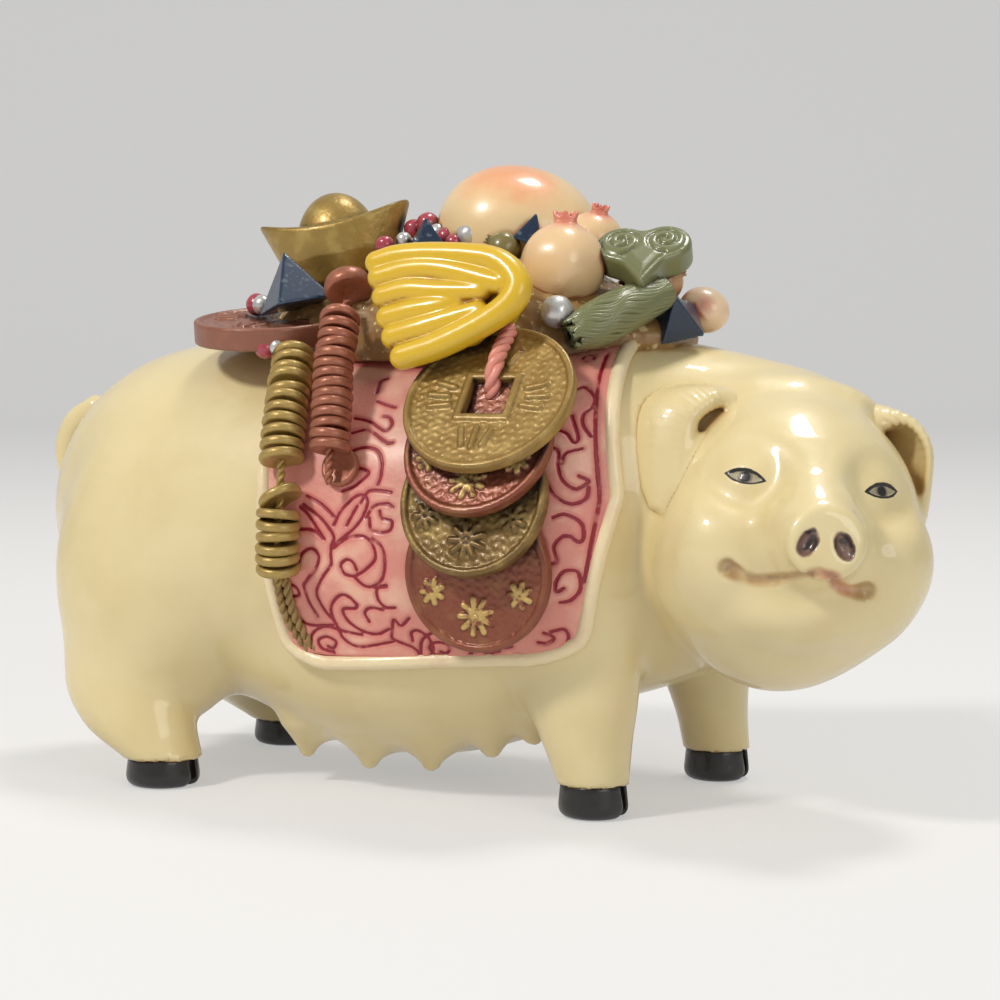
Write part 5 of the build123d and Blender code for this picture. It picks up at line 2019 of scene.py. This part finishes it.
def metal_paint(name, dark, middle, light, shine, patches=0.45, petal=0.0):
    """Painted metal: dark in the hollows and with painted shade where it lies against other pieces, rubbed
    bright on the edges and, where asked, on petals.
    """
    paint = Paint(name)
    mottled = paint.noise(3.2, 5.0)
    fine = paint.noise(0.7, 3.0, 2.0)
    # Dark paint in the hollows, and painted shade where the metal lies close to other pieces.
    hollow = (paint.attribute("recess") + (mottled - 0.5) * 0.35).rise(0.10, 0.80)
    rubbed = (paint.attribute("ridge") + (fine - 0.5) * 0.5).rise(0.62, 1.05)
    colour = paint.mix(middle, light, mottled.rise(0.45, 0.72) * patches)
    colour = paint.mix(colour, dark, hollow)
    colour = paint.mix(colour, light, rubbed * 0.8)
    if petal:
        worn = paint.noise(1.3, 3.0, 5.0).rise(0.36, 0.54) * petal
        colour = paint.mix(colour, light, paint.attribute("petals").rise(0.20, 0.80) * worn)
    roughness = 0.34 + mottled * 0.2 + hollow * 0.2
    relief = fine * 0.6 + mottled * 0.4
    return paint.finish(colour, roughness, relief, 0.16, metallic=shine, coat=0.25, coat_roughness=0.2)


copper = metal_paint("copper_paint", sight(44, 22, 16), sight(120, 62, 44), sight(168, 104, 78), 0.35)
gilt_copper = metal_paint(
    "gilt_copper_paint", sight(58, 28, 20), sight(132, 70, 48), sight(206, 176, 106), 0.40, 0.12, 0.85
)
flat_copper = metal_paint(
    "flat_copper_paint", sight(74, 42, 32), sight(138, 86, 66), sight(164, 110, 86), 0.15
)
brass = metal_paint("brass_paint", sight(40, 28, 10), sight(112, 86, 40), sight(184, 156, 88), 0.40)
top_brass = metal_paint(
    "old_brass_paint", sight(66, 48, 22), sight(148, 118, 60), sight(198, 170, 104), 0.40
)
old_gold = metal_paint(
    "old_gold_paint", sight(60, 44, 18), sight(158, 130, 66), sight(208, 184, 112), 0.55
)

# %% Strings
coin_instances = coin_tree()


def coins_on(name, places, ways, sizes, coin, paint):
    """Makes a piece of copies of a coin that stand on places."""
    grown(name, points_object(places, ways, sizes), coin_instances, {"Coin": coin}, paint)


def cord_on(name, lines, radius, sides, paint):
    """Makes a piece of threads that follow lines."""
    grown(name, lines_object(lines), sweep, {"Radius": radius * mm, "Sides": sides}, paint)


dice = np.random.default_rng(3)
copper_route = route_through(copper_route_shares)
brass_route = route_through(brass_route_shares)
copper_length = on_route(copper_route, np.zeros(1))[2]
brass_length = on_route(brass_route, np.zeros(1))[2]
copper_coin = small_coin("one_copper_coin", 3.15, 1.5)
places, ways, sizes = strung(copper_length * 0.14, 1.62, 14, copper_route, dice)
coins_on("copper_string_coins", places, ways, sizes, copper_coin, copper)

brass_coin = small_coin("one_brass_coin", 3.4, 1.45)
upper = strung(brass_length * 0.03, 1.86, 11, brass_route, dice)
lower = strung(brass_length * 0.72, 1.66, 6, brass_route, dice)
loose_place, loose_way, _ = on_route(brass_route, np.array([brass_length * 0.655]))
loose_way = loose_way + np.array([[0.55, 0.0, 0.0]])
places = np.concatenate([upper[0], lower[0], loose_place])
ways = np.concatenate([upper[1], lower[1], loose_way])
sizes = np.concatenate([upper[2], lower[2], [1.0]])
coins_on("brass_string_coins", places, ways, sizes, brass_coin, brass)

top_coin = small_coin("one_top_coin", 3.75, 2.7)
top_spot = turned(on_figurine(-0.090, -0.290, 1.112), (-38.0, -24.0, 0.0))
coins_on("copper_top_coin", [top_spot[0]], [top_spot[1][:, 2]], [1.0], top_coin, copper)
end_coin = small_coin("one_end_coin", 3.05, 1.5)
end_place, end_way = flank_place(-0.055, 0.722, cloth_thickness + 0.75)
coins_on("copper_end_coin", [end_place], [end_way], [1.0], end_coin, copper)

cord_on("copper_string_cord", twisted(copper_route, 2, 0.30, 2.6), 0.38, 8, copper)
cord_on("brass_string_cord", twisted(brass_route, 2, 0.30, 2.6), 0.38, 8, brass)

# %% Cords


def cord_paint(name, dark, light):
    paint = Paint(name)
    # Random tone and painted shade: darker where the cords lie close to other pieces.
    tint_and_shade = paint.mix(light, dark, (paint.attribute("recess") + paint.noise(1.5) * 0.5).rise(0.42, 1.05))
    return paint.finish(tint_and_shade, 0.42, paint.noise(0.5), 0.10, coat=0.25, coat_roughness=0.2)


pink_cord = cord_paint("pink_cord", sight(150, 62, 54), sight(226, 146, 130))
brown_cord = cord_paint("brown_cord", sight(58, 40, 18), sight(146, 116, 66))
tie_route = route_through([
    (0.106, -0.360, 1.020), (0.105, -0.430, 0.965), (0.103, -0.450, 0.915), (0.102, -0.430, 0.860),
])
cord_on("tie_cord", twisted(tie_route, 3, 0.62, 4.6), 0.72, 10, pink_cord)

brown_rows = [(-0.120, 0.500), (-0.116, 0.430), (-0.105, 0.370), (-0.088, 0.335), (-0.070, 0.325)]
brown_lines = []
for side in (-1, 1):
    spots = [flank_place(*row, 1.9)[0] + np.array([side * 0.75, 0, 0]) for row in brown_rows]
    brown_lines.extend(twisted(curve_through(spots, 60), 2, 0.34, 3.0))
cord_on("brown_cord", brown_lines, 0.44, 8, brown_cord)

# %% [markdown]
# ## Paints of the treasures, and their pieces
#
# Each kind of treasure has its own paint, thin over raised parts and gathered dark in the hollows, where
# painted shade darkens it too.

# %% Treasure paints


def fruit_paint(name, base, pool_and_shade, blush=None, places=(), glaze=0.45):
    """A painted fruit: a base, darker paint and painted shade in the hollows and where other pieces lie
    close, and blush around places.
    """
    paint = Paint(name)
    recess = paint.attribute("recess")
    patches = paint.noise(4.5, 4.0)
    # Paint gathered in the hollows, and painted shade where other pieces lie close.
    colour = paint.mix(base, pool_and_shade, (recess + (patches - 0.5) * 0.3).rise(0.22, 0.92))
    for place, reach in places:
        x, y, z = paint.local((place, np.eye(3)))
        away = (x ** 2.0 + y ** 2.0 + z ** 2.0) ** 0.5 + (patches - 0.5) * reach * 0.6
        colour = paint.mix(colour, blush, away.rise(reach, reach * 0.15) * 0.8)
    return paint.finish(colour, 0.28 + patches * 0.12, patches, 0.12, coat=glaze, coat_roughness=0.12)


pomegranate_tops = []
for name in ("pomegranate_near", "pomegranate_far"):
    spot, size = fruit_spots[name]
    pomegranate_tops.append((spot[0] + spot[1][:, 2] * 8.0 * size, 6.0 * size))
peach_top = [(on_heap(0.060, 0.02, 1.02), 11.5), (on_heap(0.140, -0.02, 0.96), 7.0)]
fruit_cream = fruit_paint(
    "fruit_cream", sight(232, 204, 156), sight(188, 130, 84), sight(230, 150, 104), peach_top
)
pomegranate_cream = fruit_paint(
    "pomegranate_cream", sight(230, 196, 150), sight(176, 112, 76), sight(216, 92, 88), pomegranate_tops
)
small_peach_cheek = [(on_heap(0.475, -0.06, 0.21), 3.6)]
small_peach_paint = fruit_paint(
    "peach_small_cream", sight(236, 206, 172), sight(190, 112, 84), sight(190, 60, 52), small_peach_cheek
)
olive = fruit_paint("olive_paint", sight(122, 112, 62), sight(58, 50, 26))
tan = fruit_paint("tan_paint", sight(196, 150, 104), sight(110, 66, 40))
citron_yellow = fruit_paint("citron_yellow", sight(220, 180, 36), sight(150, 98, 16))
sceptre_green = fruit_paint("sceptre_green", sight(112, 116, 76), sight(44, 46, 27))
bead_red = fruit_paint("bead_red", sight(168, 54, 72), sight(84, 20, 30), glaze=0.8)

paint = Paint("bed_ivory")
clouds = paint.noise(6.0, 3.0, 1.0)
# Painted shade, with glaze gathered brown: darker where the treasures lie close on the bed.
shade_and_pooled_glaze = (paint.attribute("recess") + (paint.noise(2.5, 4.0) - 0.5) * 0.3).rise(0.66, 1.05)
bed_colour = paint.mix(sight(218, 198, 148), sight(192, 156, 100), clouds.rise(0.42, 0.62) * 0.6)
bed_colour = paint.mix(bed_colour, sight(150, 114, 66), shade_and_pooled_glaze)
bed_ivory = paint.finish(bed_colour, 0.42 + clouds * 0.1, paint.noise(1.4, 2.0, 3.0), 0.2, coat=0.25)

paint = Paint("gem_blue")
speckled = paint.noise(0.9, 3.0).rise(0.56, 0.66)
upward = paint.along(np.zeros(3), (0, 0, 1)).rise(72.0, 84.0)
# Painted highlight: lighter blue on the facet edges.
blue = paint.mix(sight(18, 42, 70), sight(36, 70, 98), paint.attribute("ridge").rise(0.7, 1.0))
blue = paint.mix(blue, sight(120, 138, 146), speckled * upward * 0.35)
gem_blue = paint.finish(blue, 0.30 + speckled * 0.2, coat=0.4, coat_roughness=0.10)

paint = Paint("pearl_silver")
# Tarnishing and painted shade: the silver darkens where the pearls sit against the bed and other pieces.
tarnish_and_shade = (paint.attribute("recess") + (paint.noise(1.6) - 0.5) * 0.5).rise(0.25, 0.95)
silver = paint.mix(sight(206, 206, 204), sight(98, 90, 84), tarnish_and_shade)
pearl_silver = paint.finish(silver, 0.30, paint.noise(1.2), 0.08, metallic=0.55, coat=0.4)

# %% Treasure pieces
treasure_paints = {
    "hanging_coin_top": (top_brass, 0.28),
    "hanging_coin_second": (gilt_copper, 0.28),
    "hanging_coin_third": (brass, 0.28),
    "hanging_coin_lowest": (gilt_copper, 0.28),
    "flat_coin": (flat_copper, 0.32),
    "far_coins": (brass, 0.32),
    "peach_large": (fruit_cream, 0.42),
    "peach_small": (small_peach_paint, 0.26),
    "pomegranate_near": (pomegranate_cream, 0.30),
    "pomegranate_far": (pomegranate_cream, 0.28),
    "pomegranate_olive": (olive, 0.22),
    "pomegranate_tan": (tan, 0.24),
    "citron": (citron_yellow, 0.36),
    "ingot": (old_gold, 0.36),
    "sceptre_head": (sceptre_green, 0.26),
    "gem_rear": (gem_blue, 0.30),
    "gem_middle": (gem_blue, 0.26),
    "gem_top": (gem_blue, 0.26),
    "gem_front": (gem_blue, 0.26),
    "pearls": (pearl_silver, 0.26),
    "beads": (bead_red, 0.24),
    "heap_bed": (bed_ivory, 0.55),
}
for name, (paint, cell) in treasure_paints.items():
    extra = {"petals": coin_petals[name]} if name in coin_petals else {}
    skinned(name, cell, paint, **extra)

strands, thickness = tassel_strands(78)
strand_sizes = {"Radius": 0.48 * mm, "Sides": 8}
grown("sceptre_tassel", lines_object(strands, thickness=thickness), sweep, strand_sizes, sceptre_green)

# %% [markdown]
# ## Floor, light and camera
#
# The photograph was taken in a bright white studio: a lamp from the upper left and front, weaker ones
# from the right and from above, and a pale floor that runs up into a pale background.

# %% Floor and backdrop
def studio_paint(name, colour):
    """A pale floor that the camera and reflections see as partly white, which softens its shadows."""
    paint = Paint(name)
    rays = paint.node("ShaderNodeLightPath")
    seen = Number(paint, rays.outputs["Is Camera Ray"]).most(Number(paint, rays.outputs["Is Glossy Ray"]))
    seen = seen.most(Number(paint, rays.outputs["Is Transmission Ray"]))
    diffuse = paint.node("ShaderNodeBsdfDiffuse", {}, {"Color": colour})
    glow = paint.node("ShaderNodeEmission", {}, {"Color": sight(255, 255, 255), "Strength": 1.0})
    mixed = paint.node("ShaderNodeMixShader", {}, {0: seen * 0.40})
    paint.tree.links.new(diffuse.outputs[0], mixed.inputs[1])
    paint.tree.links.new(glow.outputs[0], mixed.inputs[2])
    output = paint.node("ShaderNodeOutputMaterial")
    paint.tree.links.new(mixed.outputs[0], output.inputs["Surface"])
    return paint.material


floor_size = 6.0
floor_reach = 1.6
bend_radius = 0.6
bend_steps = 12
floor_rows = [(-floor_size / 2, 0.0), (floor_reach, 0.0)]
for step in range(1, bend_steps + 1):
    angle = math.pi / 2 * step / bend_steps
    floor_rows.append((floor_reach + bend_radius * math.sin(angle), bend_radius * (1 - math.cos(angle))))
floor_rows.append((floor_reach + bend_radius, floor_size / 2))
floor_turn = math.radians(24.0)
floor_across = np.array([math.cos(floor_turn), math.sin(floor_turn), 0])
floor_back = np.array([-math.sin(floor_turn), math.cos(floor_turn), 0])
floor_points = []
for back, height in floor_rows:
    middle = floor_back * back + np.array([0, 0, height])
    for side in (-1, 1):
        floor_points.append(middle + floor_across * side * floor_size / 2)
studio_mesh = bpy.data.meshes.new("studio")
strips = [(row, row + 1, row + 3, row + 2) for row in range(0, 2 * len(floor_rows) - 2, 2)]
studio_mesh.from_pydata([tuple(point) for point in floor_points], [], strips)
studio_mesh.polygons.foreach_set("use_smooth", [True] * len(strips))
studio_mesh.materials.append(studio_paint("studio_white", sight(222, 221, 219)))
studio = bpy.data.objects.new("studio", studio_mesh)
bpy.context.scene.collection.objects.link(studio)
studio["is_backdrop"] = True

# %% Light
from mathutils import Vector


lit_place = Vector((0.0, 0.0, 0.045))


def soft_light(name, place, size, power, colour):
    """A square soft light that looks at the middle of the figurine."""
    lamp = bpy.data.lights.new(name, "AREA")
    lamp.size = size
    lamp.energy = power
    lamp.color = colour
    light = bpy.data.objects.new(name, lamp)
    light.location = place
    way = lit_place - Vector(place)
    light.rotation_euler = way.to_track_quat("-Z", "Y").to_euler()
    bpy.context.scene.collection.objects.link(light)


soft_light("key", (-0.42, -0.75, 0.85), 0.15, 7.4, (1.0, 0.97, 0.92))
soft_light("fill", (0.95, -0.60, 0.45), 0.50, 2.6, (1.0, 0.98, 0.95))
soft_light("top", (0.10, 0.25, 1.00), 0.22, 3.8, (1.0, 0.98, 0.95))
world = bpy.data.worlds.new("studio_air")
bpy.context.scene.world = world
world.use_nodes = True
world.node_tree.nodes["Background"].inputs["Color"].default_value = sight(240, 240, 238)
world.node_tree.nodes["Background"].inputs["Strength"].default_value = 0.42

# %% Camera
target = Vector((7.0, 3.1, 45.8)) * mm
azimuth, elevation = math.radians(24.0), math.radians(4.0)
distance = 0.368
level = math.cos(elevation)
outward = Vector((math.sin(azimuth) * level, -math.cos(azimuth) * level, math.sin(elevation)))
camera_data = bpy.data.cameras.new("camera")
camera_data.sensor_width = 36.0
camera_data.lens = 82.8
camera_data.clip_start = 0.01
camera_data.clip_end = 20.0
camera = bpy.data.objects.new("camera", camera_data)
camera.location = target + outward * distance
camera.rotation_euler = outward.to_track_quat("Z", "Y").to_euler()
bpy.context.scene.collection.objects.link(camera)
bpy.context.scene.camera = camera
bpy.context.scene.view_settings.view_transform = "Standard"

# %% Sizes
visual_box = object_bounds()
print("visual box in mm:", [[round(v / mm, 1) for v in corner] for corner in visual_box])
sizes = {
    "cad": [[float(value) for value in corner] for corner in cad_box],
    "visual": [[float(value) for value in corner] for corner in visual_box],
}
